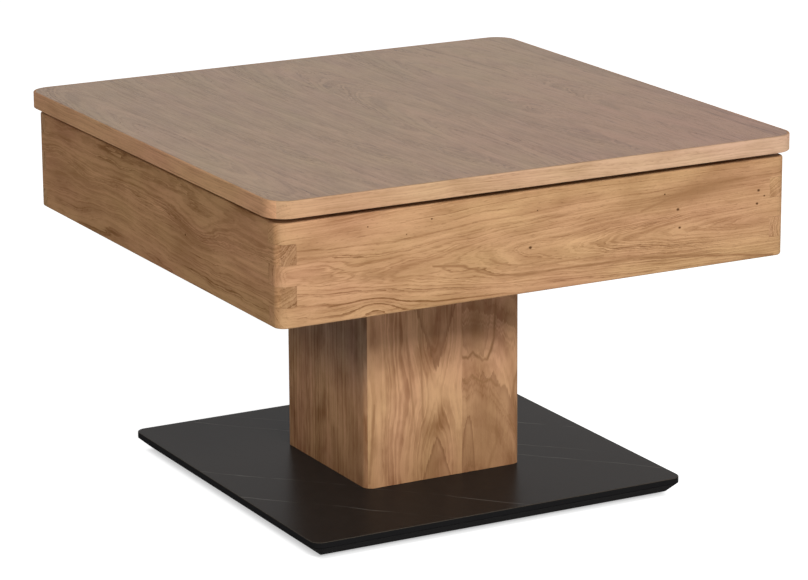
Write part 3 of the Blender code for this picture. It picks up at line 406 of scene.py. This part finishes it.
class Field:
    """An output of a node, used in formulas as a number that varies over a surface."""

    def __init__(self, tree, socket):
        self.tree = tree
        self.socket = socket

    def math(self, operation, *others):
        return field(self.tree, "Math", dict(enumerate((self, *others))), operation=operation)

    def __add__(self, other):
        return self.math("ADD", other)

    def __sub__(self, other):
        return self.math("SUBTRACT", other)

    def __mul__(self, other):
        return self.math("MULTIPLY", other)

    def __truediv__(self, other):
        return self.math("DIVIDE", other)

    def step(self, low, high):
        """Rises smoothly from 0 to 1 between low and high, or falls where low is the larger."""
        return field(self.tree, "MapRange", {"Value": self, "From Min": low, "From Max": high},
                     interpolation_type="SMOOTHSTEP")


def feed(tree, socket, value):
    if isinstance(value, Field):
        tree.links.new(value.socket, socket)
    else:
        socket.default_value = value


def field(tree, kind, inputs, output=0, **settings):
    """Adds a node, sets it up, feeds its inputs and returns one of its outputs."""
    node = tree.nodes.new("ShaderNode" + kind)
    for name, value in settings.items():
        setattr(node, name, value)
    for name, value in inputs.items():
        feed(tree, node.inputs[name], value)
    return Field(tree, node.outputs[output])


def axes(tree, *directions, coordinates="Object"):
    """Coordinates along directions such as +X or -Y."""
    place = field(tree, "TexCoord", {}, output=coordinates)
    split = tree.nodes.new("ShaderNodeSeparateXYZ")
    tree.links.new(place.socket, split.inputs[0])
    return [Field(tree, split.outputs[d[1]]) * (1.0 if d[0] == "+" else -1.0) for d in directions]


def point(tree, x, y, z=0.0):
    return field(tree, "CombineXYZ", {"X": x, "Y": y, "Z": z})


def noise(tree, place, scale=1.0, detail=2.0, roughness=0.5):
    """Smooth noise about 0, mostly between -0.5 and 0.5."""
    return field(tree, "TexNoise", {"Vector": place, "Scale": scale, "Detail": detail,
                                    "Roughness": roughness}) - 0.5


def blend(tree, factor, first, second, way="MIX"):
    """Mixes two colours."""
    colours = [c if isinstance(c, Field) else (*c, 1.0) for c in (first, second)]
    return field(tree, "Mix", {0: factor, 6: colours[0], 7: colours[1]}, output=2, data_type="RGBA",
                 blend_type=way)


def mound(tree, place, centre, size):
    """A bell of height 1 about a centre in plan, with its length and width."""
    scale = [1 / size[0], 1 / size[1], 0.0]
    shift = [-centre[0] / size[0], -centre[1] / size[1], 0.0]
    offset = field(tree, "VectorMath", {0: place, 1: scale, 2: shift}, operation="MULTIPLY_ADD")
    square = field(tree, "VectorMath", {0: offset, 1: offset}, output="Value", operation="DOT_PRODUCT")
    return field(tree, "Math", {0: math.exp(-1), 1: square}, operation="POWER")


def new_material(name):
    material = bpy.data.materials.new(name)
    material.use_nodes = True
    return material, material.node_tree


def shade(tree, colour, roughness, relief=None, depth=0.0, **settings):
    """Feeds the Principled shader. relief is a height field, and depth its size in metres."""
    inputs = tree.nodes["Principled BSDF"].inputs
    feed(tree, inputs["Base Color"], colour)
    feed(tree, inputs["Roughness"], roughness)
    if relief:
        bump = field(tree, "Bump", {"Height": relief, "Distance": depth})
        feed(tree, inputs["Normal"], bump)
    for name, value in settings.items():
        inputs[name.replace("_", " ")].default_value = value


# Wood

def stretched(tree, along, across, depth, features, shift=0.0, **settings):
    """Noise drawn out along the grain, with its features to the metre along and across."""
    place = point(tree, along * features[0] + shift, across * features[1], depth * features[1])
    return noise(tree, place, **settings)


def growth(tree, along, across, depth, figure):
    """Count of growth rings from the heart line, which wanders a little along the board."""
    sway = stretched(tree, along, across, depth, SWAY, detail=1.0) * figure.wander
    ripple = stretched(tree, along, across, depth, RIPPLE, detail=2.0) * figure.ripple
    needle = stretched(tree, along, across, depth, NEEDLES, detail=2.0) * figure.fray
    side = across - figure.heart + sway
    deep = along * figure.slope + depth + figure.depth + sway
    rings = (side * side + deep * deep).math("SQRT") / figure.ring + ripple + needle
    face = point(tree, along, across)
    for u, v, length, width, rise in figure.swells:
        rings = rings + mound(tree, face, (u, v), (length, width)) * rise
    return rings


def emphasis(tree, along, across, figures):
    """How much more or less the rings show in places."""
    face = point(tree, along, across)
    total = along * 0.0
    for figure in figures:
        for u, v, length, width, gain in figure.bands:
            total = total + mound(tree, face, (u, v), (length, width)) * gain
    return total


def grain(tree, wood, along, across, depth, rings, tone=0.0, clear=0.0):
    """Colour, roughness and relief of wood from its ring count.

    tone is a brightening about 0, and clear is how much more the rings show.
    """
    drift = across + stretched(tree, along, across, depth, DRIFT, detail=1.0) * DRIFT_REACH
    uneven = field(tree, "TexNoise", {"W": rings * UNEVEN_RATE, "Detail": 0.0}, noise_dimensions="1D")
    rings = rings + uneven * UNEVEN_REACH
    age = field(tree, "TexNoise", {"W": rings * AGE_RATE + AGE_START, "Detail": 1.0},
                noise_dimensions="1D") - 0.5
    lot = field(tree, "TexWhiteNoise", {"W": rings.math("FLOOR")}, noise_dimensions="1D")
    shown = stretched(tree, along, across, depth, SHOW, detail=1.0).step(*SHOW_EDGE)
    shown = (shown * SHOW_SPAN + SHOW_LEAST + clear).math("MAXIMUM", 0.0)
    early = rings.math("FRACT").step(EARLY_WOOD, 0.0) * (lot * lot + FAINTEST_RING) * shown
    fibre = stretched(tree, along, drift, depth, (wood.run, wood.fineness), detail=3.0, roughness=0.65)
    cloud = stretched(tree, along, across, depth, (wood.run, CLOUDS_ACROSS), detail=3.0)
    streaks = (age + fibre + cloud * CLOUD_SHARE) * wood.streaks
    colour = blend(tree, early * wood.rings + streaks + MIDDLE_TONE - tone, wood.light, wood.dark)
    dash = stretched(tree, along, drift, depth, DASHES, detail=3.0)
    dash = (dash + early * DASHES_IN_RINGS).step(*DASH_EDGE)
    vessel = stretched(tree, along, drift, depth, VESSELS, detail=1.0)
    vessel = (vessel + early * VESSELS_IN_RINGS).step(*VESSEL_EDGE)
    colour = blend(tree, (dash + vessel * VESSEL_SHARE) * wood.pores, colour, wood.pore)
    fleck = stretched(tree, along, drift, depth, FLECKS, FLECK_START, detail=1.0)
    pale = tuple(c * FLECK_GAIN for c in wood.light)
    colour = blend(tree, fleck.step(*FLECK_EDGE) * FLECK_SHARE, colour, pale)
    warm = stretched(tree, along, across, depth, WARMTH, WARMTH_START, detail=2.0)
    tint = blend(tree, warm * HUE_SPREAD + 0.5, ROSY, GOLDEN)
    colour = blend(tree, 1.0, colour, tint, "MULTIPLY")
    roughness = vessel * VESSEL_ROUGHNESS + fibre * FIBRE_ROUGHNESS + wood.roughness
    relief = fibre * FIBRE_HEIGHT - vessel + dash * DASH_HEIGHT
    return colour, roughness, relief


def cut_across(tree, direction):
    """1 on faces that are square to the grain's direction."""
    normal = field(tree, "NewGeometry", {}, output="Normal")
    axis = {"X": (1.0, 0.0, 0.0), "Y": (0.0, 1.0, 0.0)}[direction[1]]
    facing = field(tree, "VectorMath", {0: normal, 1: axis}, output="Value", operation="DOT_PRODUCT")
    return facing.math("ABSOLUTE").step(*END_FACING)


def flame(tree, along, across, figure, tip, middle, length, width, power):
    """A pointed arch with a frayed edge, 1 along the edge and fading inwards."""
    jag = stretched(tree, along, across, 0.0, JAGS, detail=2.0) * figure.fray
    splinter = stretched(tree, along, across, 0.0, SPLINTERS, detail=2.0)
    tooth = (across + jag * TOOTH_SWAY).math("PINGPONG", TOOTH_WIDTH) / TOOTH_WIDTH - 0.5
    run = (along * -1.0 + tip) / length + jag + splinter * SPLINTERED_TIP
    run = run + tooth * (figure.teeth / abs(length))
    run = run.math("MAXIMUM", 0.0).math("POWER", power)
    inside = run - (across - middle).math("ABSOLUTE") / width + splinter * SPLINTERED_SIDE
    rim = inside.step(FLAME_RIM, 0.0) * (1.0 - FLAME_CORE)
    return inside.step(0.0, FLAME_EDGE) * (rim + FLAME_CORE + splinter * SPLINTERED_CORE)


def distance(tree, place, points):
    """Distance in plan from a line through points."""
    nearest = None
    for start, end in zip(points, points[1:]):
        run = Vector((*end, 0.0)) - Vector((*start, 0.0))
        offset = field(tree, "VectorMath", {0: place, 1: (*start, 0.0)}, operation="SUBTRACT")
        share = field(tree, "VectorMath", {0: offset, 1: run / run.length_squared}, output="Value",
                      operation="DOT_PRODUCT")
        share = share.math("MAXIMUM", 0.0).math("MINIMUM", 1.0)
        foot = field(tree, "VectorMath", {0: run, "Scale": share}, operation="SCALE")
        away = field(tree, "VectorMath", {0: offset, 1: foot}, output="Value", operation="DISTANCE")
        nearest = nearest.math("MINIMUM", away) if nearest else away
    return nearest


def add_marks(tree, colour, along, across, figure):
    """Stains, flames, lines and pin knots of a board."""
    for u, v, length, width, slope, amount in figure.stains:
        place = point(tree, along, across - along * slope)
        stain = mound(tree, place, (u, v - u * slope), (length, width)) * abs(amount)
        colour = blend(tree, stain, colour, OAK.dark if amount > 0 else WISP_COLOUR)
    for *shape, amount in figure.flames:
        colour = blend(tree, flame(tree, along, across, figure, *shape) * amount, colour, FLAME_COLOUR)
    face = point(tree, along, across)
    if figure.lines:
        fray = stretched(tree, along, across, 0.0, FRAYS, detail=2.0)
        frayed = point(tree, along + fray * LINE_FRAY[0], across + fray * LINE_FRAY[1])
        broken = noise(tree, face, LINE_BREAKS).step(*LINE_BREAK_EDGE) * (1.0 - LINE_LEAST) + LINE_LEAST
        for width, amount, points in figure.lines:
            line = distance(tree, frayed, points).step(width, 0.0) * broken * amount
            colour = blend(tree, line, colour, OAK.dark)
    for u, v, radius in figure.knots:
        spot = mound(tree, face, (u, v), (radius * KNOT_STRETCH, radius))
        colour = blend(tree, spot.step(*KNOT_EDGE), colour, KNOT_COLOUR)
    return colour


def apron_oak(side):
    material, tree = new_material(f"oak_apron_{side}")
    right, inward = SIDES[side]
    along, across, depth = axes(tree, right, "+Z", inward)
    depth = depth + APRON_HALF
    figure = APRON_FIGURES[side]
    rings = growth(tree, along, across, depth, figure)
    end = cut_across(tree, right)
    clear = emphasis(tree, along, across, [figure]) + end * END_CLEAR
    colour, roughness, relief = grain(tree, OAK, along, across, depth, rings, end * -figure.end, clear)
    colour = add_marks(tree, colour, along, across, figure)
    colour = blend(tree, 1.0, colour, blend(tree, end, figure.hue, figure.end_tint_and_head_shade), "MULTIPLY")
    shade(tree, colour, roughness, relief, OAK.relief, IOR=OAK.ior)
    return material


def column_oak(side):
    """Two boards glued edge to edge, with upright grain."""
    material, tree = new_material(f"oak_column_{side}")
    right, inward = SIDES[side]
    along, across, depth = axes(tree, "+Z", right, inward)
    depth = depth + COLUMN_HALF
    first, second = (growth(tree, along, across, depth, f) for f in COLUMN_FIGURES[side])
    beyond = across.math("GREATER_THAN", COLUMN_SPLIT)
    rings = first + (second + SECOND_BOARD_RINGS - first) * beyond
    clear = emphasis(tree, along, across, COLUMN_FIGURES[side])
    tone = beyond * SECOND_BOARD_TONE
    colour, roughness, relief = grain(tree, COLUMN_OAK, along, across, depth, rings, tone, clear)
    # Painted shade: the column darkens towards its foot
    foot = blend(tree, along.step(*COLUMN_FOOT_SHADE), (1.0, 1.0, 1.0), FOOT_SHADE_HUE)
    colour = blend(tree, 1.0, colour, foot, "MULTIPLY")
    # Painted shade: each board's head tint darkens it under the apron, most of all on the left panel
    head = along.step(*COLUMN_HEAD_SHADE)
    for figure, share in zip(COLUMN_FIGURES[side], (beyond * -1.0 + 1.0, beyond)):
        tint = blend(tree, head, figure.hue, figure.end_tint_and_head_shade)
        marked = blend(tree, 1.0, add_marks(tree, colour, along, across, figure), tint, "MULTIPLY")
        colour = blend(tree, share, colour, marked)
    shade(tree, colour, roughness, relief, COLUMN_OAK.relief, IOR=COLUMN_OAK.ior)
    return material


def top_veneer():
    """Staves side by side, with the grain from front to back."""
    material, tree = new_material("oak_veneer")
    along, across, depth = axes(tree, "+Y", "+X", "-Z")
    depth = depth + TABLE_HEIGHT
    place = across / STAVE_WIDTH + STAVE_START
    stave = place.math("FLOOR")
    lot = field(tree, "TexWhiteNoise", {"W": stave}, noise_dimensions="1D")
    lot = lot - 0.5
    inside = (place.math("FRACT") - 0.5) * STAVE_WIDTH + lot * STAVE_CUT
    shifted = along + lot * STAVE_SHIFT
    rings = growth(tree, shifted, inside, depth, VENEER_FIGURE)
    colour, roughness, relief = grain(tree, VENEER, shifted, inside, depth, rings, lot * STAVE_TONE)
    blush = mound(tree, point(tree, across, along), BLUSH_PLACE, BLUSH_SIZE)
    colour = blend(tree, 1.0, colour, blend(tree, blush, (1.0, 1.0, 1.0), BLUSH), "MULTIPLY")
    shade(tree, colour, roughness, relief, VENEER.relief, IOR=VENEER.ior)
    return material


def edge_oak():
    """Edge band whose grain follows the rim round the corners, from the left rear one on."""
    material, tree = new_material("oak_edge")
    x, y, z = axes(tree, "+X", "+Y", "+Z")
    front = y.math("SIGN") * -1.0
    across_rim = x * front + (front * -1.0 + 1.0) * TOP_HALF * 2.0
    along_sides = (y + TOP_HALF * 2.0) * x.math("SIGN")
    beside = x.math("ABSOLUTE").math("GREATER_THAN", y.math("ABSOLUTE"))
    along = across_rim + (along_sides - across_rim) * beside
    depth = x.math("ABSOLUTE").math("MAXIMUM", y.math("ABSOLUTE")) * -1.0 + TOP_HALF
    rings = growth(tree, along, z, depth, EDGE_FIGURE)
    colour, roughness, relief = grain(tree, EDGE_OAK, along, z, depth, rings)
    hue = blend(tree, x / (TOP_HALF * 2.0) + 0.5, *BAND_HUES)
    # Painted light: a warmer tint on the band's sides
    hue = blend(tree, beside, hue, BAND_SIDE_PAINTED_LIGHT)
    colour = blend(tree, 1.0, colour, hue, "MULTIPLY")
    shade(tree, colour, roughness, relief, EDGE_OAK.relief, IOR=EDGE_OAK.ior)
    return material


def beech_wood():
    material, tree = new_material("beech")
    along, across, depth = axes(tree, "+Z", "+X", "+Y")
    rings = growth(tree, along, across, depth, BEECH_FIGURE)
    colour, roughness, relief = grain(tree, BEECH, along, across, depth, rings)
    shade(tree, colour, roughness, relief, BEECH.relief, IOR=BEECH.ior)
    return material


# Other materials

def slab_ceramic():
    """Anthracite ceramic with a satin skin and thin pale veins."""
    material, tree = new_material("ceramic")
    x, y, z = axes(tree, "+X", "+Y", "+Z")
    place = point(tree, x, y, z)
    sway = noise(tree, place, scale=9.0, detail=4.0)
    patchy = noise(tree, place, scale=16.0, detail=2.0)
    mottle = noise(tree, place, scale=60.0, detail=5.0, roughness=0.65)
    grit = noise(tree, place, scale=900.0, detail=2.0)
    normal = (-math.sin(VEIN_ANGLE), math.cos(VEIN_ANGLE))
    offset = x * normal[0] + y * normal[1] + sway * VEIN_SWAY
    vein = None
    for px, py, width, strength in VEINS:
        reach = (offset - (px * normal[0] + py * normal[1])).math("ABSOLUTE")
        line = reach.step(width, 0.0) * strength
        vein = vein + line if vein else line
    vein = vein * patchy.step(*VEIN_BREAK_EDGE)
    slope = axes(tree, "+Z", coordinates="Normal")[0]
    edge = slope.step(*EDGE_SLOPES[0]) * slope.step(*EDGE_SLOPES[1])
    colour = blend(tree, mottle + 0.5, *SLAB_COLOURS)
    colour = blend(tree, vein * slope.step(*FACE_SLOPE) * VEIN_SHARE, colour, VEIN_COLOUR)
    colour = blend(tree, edge, colour, SLAB_EDGE_COLOUR)
    colour = blend(tree, slope.step(*SIDE_SLOPE), colour, SLAB_SIDE_COLOUR)
    roughness = mottle * MOTTLE_ROUGHNESS + slope.step(*MATT_SLOPE) * SIDE_ROUGHNESS + SLAB_ROUGHNESS
    shade(tree, colour, roughness, grit, SLAB_GRIT, IOR=SLAB_IOR)
    return material


def grained(name, colour, roughness, scale, depth, **settings):
    """Paint, lacquer or moulded plastic with a fine even grain and slightly uneven colour."""
    material, tree = new_material(name)
    place = point(tree, *axes(tree, "+X", "+Y", "+Z"))
    grit = noise(tree, place, scale=scale, detail=2.0)
    cloud = noise(tree, place, scale=25.0, detail=3.0)
    darker = tuple(c * (1 - PAINT_SPREAD) for c in colour)
    lighter = tuple(c * (1 + PAINT_SPREAD) for c in colour)
    mottled = blend(tree, cloud + 0.5 + grit * PAINT_GRAIN_SHARE, darker, lighter)
    shade(tree, mottled, cloud * PAINT_ROUGHNESS_SPREAD + roughness, grit, depth, **settings)
    return material


def metal(name, colour, roughness, drawn=1.0):
    """Plated metal, or metal with fine lines drawn out along Z."""
    material, tree = new_material(name)
    x, y, z = axes(tree, "+X", "+Y", "+Z")
    place = point(tree, x * METAL_LINES, y * METAL_LINES, z * (METAL_LINES / drawn))
    lines = noise(tree, place, detail=3.0)
    bloom = noise(tree, point(tree, x, y, z), scale=40.0, detail=3.0)
    dull = tuple(c * BLOOM_GAIN for c in colour)
    uneven = bloom * BLOOM_ROUGHNESS + lines * LINE_ROUGHNESS + roughness
    shade(tree, blend(tree, bloom + 0.5, colour, dull), uneven, lines, METAL_LINE_DEPTH, Metallic=1.0)
    return material


def smooth_shading():
    """Modifier's nodes that join facets, shade curved faces as smooth and keep edges crisp."""
    tree = bpy.data.node_groups.new("smooth_shading", "GeometryNodeTree")
    for way in ("INPUT", "OUTPUT"):
        tree.interface.new_socket("Geometry", in_out=way, socket_type="NodeSocketGeometry")
    weld = tree.nodes.new("GeometryNodeMergeByDistance")
    weld.inputs["Distance"].default_value = WELD_DISTANCE
    shading = tree.nodes.new("GeometryNodeSetMeshNormal")
    turn = tree.nodes.new("GeometryNodeInputMeshEdgeAngle")
    sharp = tree.nodes.new("FunctionNodeCompare")
    sharp.operation = "GREATER_THAN"
    sharp.inputs[1].default_value = SHARP_ANGLE
    tree.links.new(tree.nodes.new("NodeGroupInput").outputs[0], weld.inputs["Geometry"])
    tree.links.new(weld.outputs[0], shading.inputs["Mesh"])
    tree.links.new(turn.outputs["Unsigned Angle"], sharp.inputs[0])
    tree.links.new(sharp.outputs[0], shading.inputs["Edge Sharpness"])
    tree.links.new(shading.outputs[0], tree.nodes.new("NodeGroupOutput").inputs[0])
    return tree


def dress():
    """Gives each solid its material and its shading."""
    shading = smooth_shading()
    materials = {
        "top_panel": top_veneer(),
        "top_edge_band": edge_oak(),
        "base_slab": slab_ceramic(),
        **{f"apron_{side}": apron_oak(side) for side in SIDES},
        **{f"column_panel_{side}": column_oak(side) for side in SIDES},
    }
    by_slot = {
        "beech": beech_wood(),
        "black_board": grained("black_board", (0.019, 0.018, 0.018), roughness=0.80, scale=700.0,
                               depth=0.00004, IOR=1.06),
        "black_plastic": grained("black_plastic", (0.020, 0.020, 0.020), roughness=0.48, scale=1500.0,
                                 depth=0.00005),
        "black_steel": grained("black_steel", (0.024, 0.024, 0.026), roughness=0.42, scale=2200.0,
                               depth=0.00006),
        "steel": metal("steel", (0.46, 0.46, 0.47), roughness=0.36, drawn=DRAWN),
        "zinc": metal("zinc", (0.62, 0.62, 0.64), roughness=0.30),
        "chrome": metal("chrome", (0.74, 0.74, 0.76), roughness=0.10, drawn=DRAWN),
        "aluminium": metal("aluminium", (0.68, 0.69, 0.70), roughness=0.40),
    }
    for subpart in frame["record"]["subparts"]:
        node = subpart["node"]
        material = materials.get(node) or by_slot[subpart["material_slot"]]
        frame["nodes"][node].material_slots[0].material = material
        frame["nodes"][node].modifiers.new("smooth_shading", "NODES").node_group = shading


def add_battens():
    """Strips under the top, one along each side of the apron, between the corner blocks, black as
    painted shade in the gap.
    """
    # Painted shade: the battens are black to keep the shadow gap dark
    material = grained("black_batten", (0.014, 0.013, 0.012), roughness=0.85, scale=700.0, depth=0.00004,
                       IOR=1.06)
    size = (BLOCK_SPACING - CLEARANCE * 2.0, BATTEN_THICKNESS, BATTEN_HEIGHT)
    middle = (0.0, APRON_INNER_FACE + CLEARANCE + BATTEN_THICKNESS / 2,
              TOP_UNDERSIDE - CLEARANCE - BATTEN_HEIGHT / 2)
    for quarter, side in enumerate(SIDES):
        turn = Matrix.Rotation(math.radians(90) * quarter, 4, "Z")
        shape = bmesh.new()
        place = turn @ Matrix.Translation(middle) @ Matrix.Diagonal((*size, 1.0))
        bmesh.ops.create_cube(shape, matrix=place)
        bmesh.ops.bevel(shape, geom=shape.edges[:], offset=BATTEN_ROUNDING, segments=2, affect="EDGES")
        mesh = bpy.data.meshes.new(f"shadow_batten_{side}")
        shape.to_mesh(mesh)
        shape.free()
        mesh.materials.append(material)
        batten = bpy.data.objects.new(mesh.name, mesh)
        bpy.context.scene.collection.objects.link(batten)
        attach(batten, "lift")


# Studio

def look_from(azimuth, elevation):
    """Unit vector from the table towards a place round it. Azimuth 0 is the front."""
    return Vector((math.sin(azimuth) * math.cos(elevation), -math.cos(azimuth) * math.cos(elevation),
                   math.sin(elevation)))


def add_camera():
    data = bpy.data.cameras.new("camera")
    data.sensor_fit = "HORIZONTAL"
    data.sensor_width = SENSOR_WIDTH
    data.lens = FOCAL_LENGTH_PX / PHOTO_WIDTH * SENSOR_WIDTH
    back = look_from(CAMERA_AZIMUTH, CAMERA_ELEVATION)
    level = Vector((math.cos(CAMERA_AZIMUTH), math.sin(CAMERA_AZIMUTH), 0))
    upright = back.cross(level)
    right = math.cos(CAMERA_ROLL) * level + math.sin(CAMERA_ROLL) * upright
    up = math.cos(CAMERA_ROLL) * upright - math.sin(CAMERA_ROLL) * level
    camera = bpy.data.objects.new("camera", data)
    turn = Matrix((right, up, back)).transposed().to_4x4()
    place = CAMERA_TARGET + back * CAMERA_DISTANCE + right * CAMERA_SLIDE[0] + up * CAMERA_SLIDE[1]
    camera.matrix_world = Matrix.Translation(place) @ turn
    bpy.context.scene.collection.objects.link(camera)
    bpy.context.scene.camera = camera


def seen_directly(tree):
    """1 for what the camera sees, also in a mirror or through glass, and 0 for scattered light."""
    path = tree.nodes.new("ShaderNodeLightPath")
    names = ("Is Camera Ray", "Is Glossy Ray", "Is Transmission Ray")
    camera, glossy, transmission = (Field(tree, path.outputs[name]) for name in names)
    return camera.math("MAXIMUM", glossy).math("MAXIMUM", transmission)


def add_key_light():
    data = bpy.data.lights.new("key", "AREA")
    data.shape = "RECTANGLE"
    data.size = KEY_WIDTH
    data.size_y = KEY_HEIGHT
    data.energy = KEY_POWER
    light = bpy.data.objects.new("key", data)
    towards = look_from(KEY_AZIMUTH, KEY_ELEVATION)
    light.location = CAMERA_TARGET + towards * KEY_DISTANCE
    light.rotation_mode = "QUATERNION"
    light.rotation_quaternion = towards.to_track_quat("Z", "Y")
    bpy.context.scene.collection.objects.link(light)


def add_world():
    """White to the camera, and a low even light on the table."""
    world = bpy.data.worlds.new("studio")
    world.use_nodes = True
    tree = world.node_tree
    direct = seen_directly(tree)
    height = axes(tree, "+Z", coordinates="Generated")[0]
    skylight = height.step(SKY_FADE[1], SKY_FADE[0]) * (HORIZON_LIGHT - ZENITH_LIGHT) + ZENITH_LIGHT
    strength = direct + skylight * (direct * -1.0 + 1.0)
    background = tree.nodes["Background"].inputs
    background["Color"].default_value = (1.0, 1.0, 1.0, 1.0)
    feed(tree, background["Strength"], strength)
    bpy.context.scene.world = world


def add_floor():
    """White floor that keeps the table's shadow, with a painted contact shadow in its glow, and is clear
    when seen from below.
    """
    half = FLOOR_SIDE / 2
    mesh = bpy.data.meshes.new("floor")
    mesh.from_pydata([(-half, -half, 0), (half, -half, 0), (half, half, 0), (-half, half, 0)], [],
                     [(0, 1, 2, 3)])
    material, tree = new_material("floor")
    shader = tree.nodes["Principled BSDF"].inputs
    shader["Base Color"].default_value = (FLOOR_ALBEDO, FLOOR_ALBEDO, FLOOR_ALBEDO, 1.0)
    shader["Roughness"].default_value = 1.0
    shader["Specular IOR Level"].default_value = 0.0
    shader["Emission Color"].default_value = (1.0, 1.0, 1.0, 1.0)
    # Painted contact shadow: ambient occlusion dims the floor's glow near the table
    openness = field(tree, "AmbientOcclusion", {"Distance": PAINTED_SHADOW_REACH}, output="AO")
    glow = (openness * PAINTED_SHADOW_DEPTH + (1 - PAINTED_SHADOW_DEPTH)) * FLOOR_GLOW
    feed(tree, shader["Emission Strength"], seen_directly(tree) * glow)
    below = field(tree, "NewGeometry", {}, output="Backfacing")
    feed(tree, shader["Alpha"], below * -1.0 + 1.0)
    mesh.materials.append(material)
    floor = bpy.data.objects.new("floor", mesh)
    bpy.context.scene.collection.objects.link(floor)


dress()
add_battens()
add_camera()
add_key_light()
add_world()
add_floor()
bpy.context.scene.view_settings.view_transform = "Standard"

bpy.context.view_layer.update()
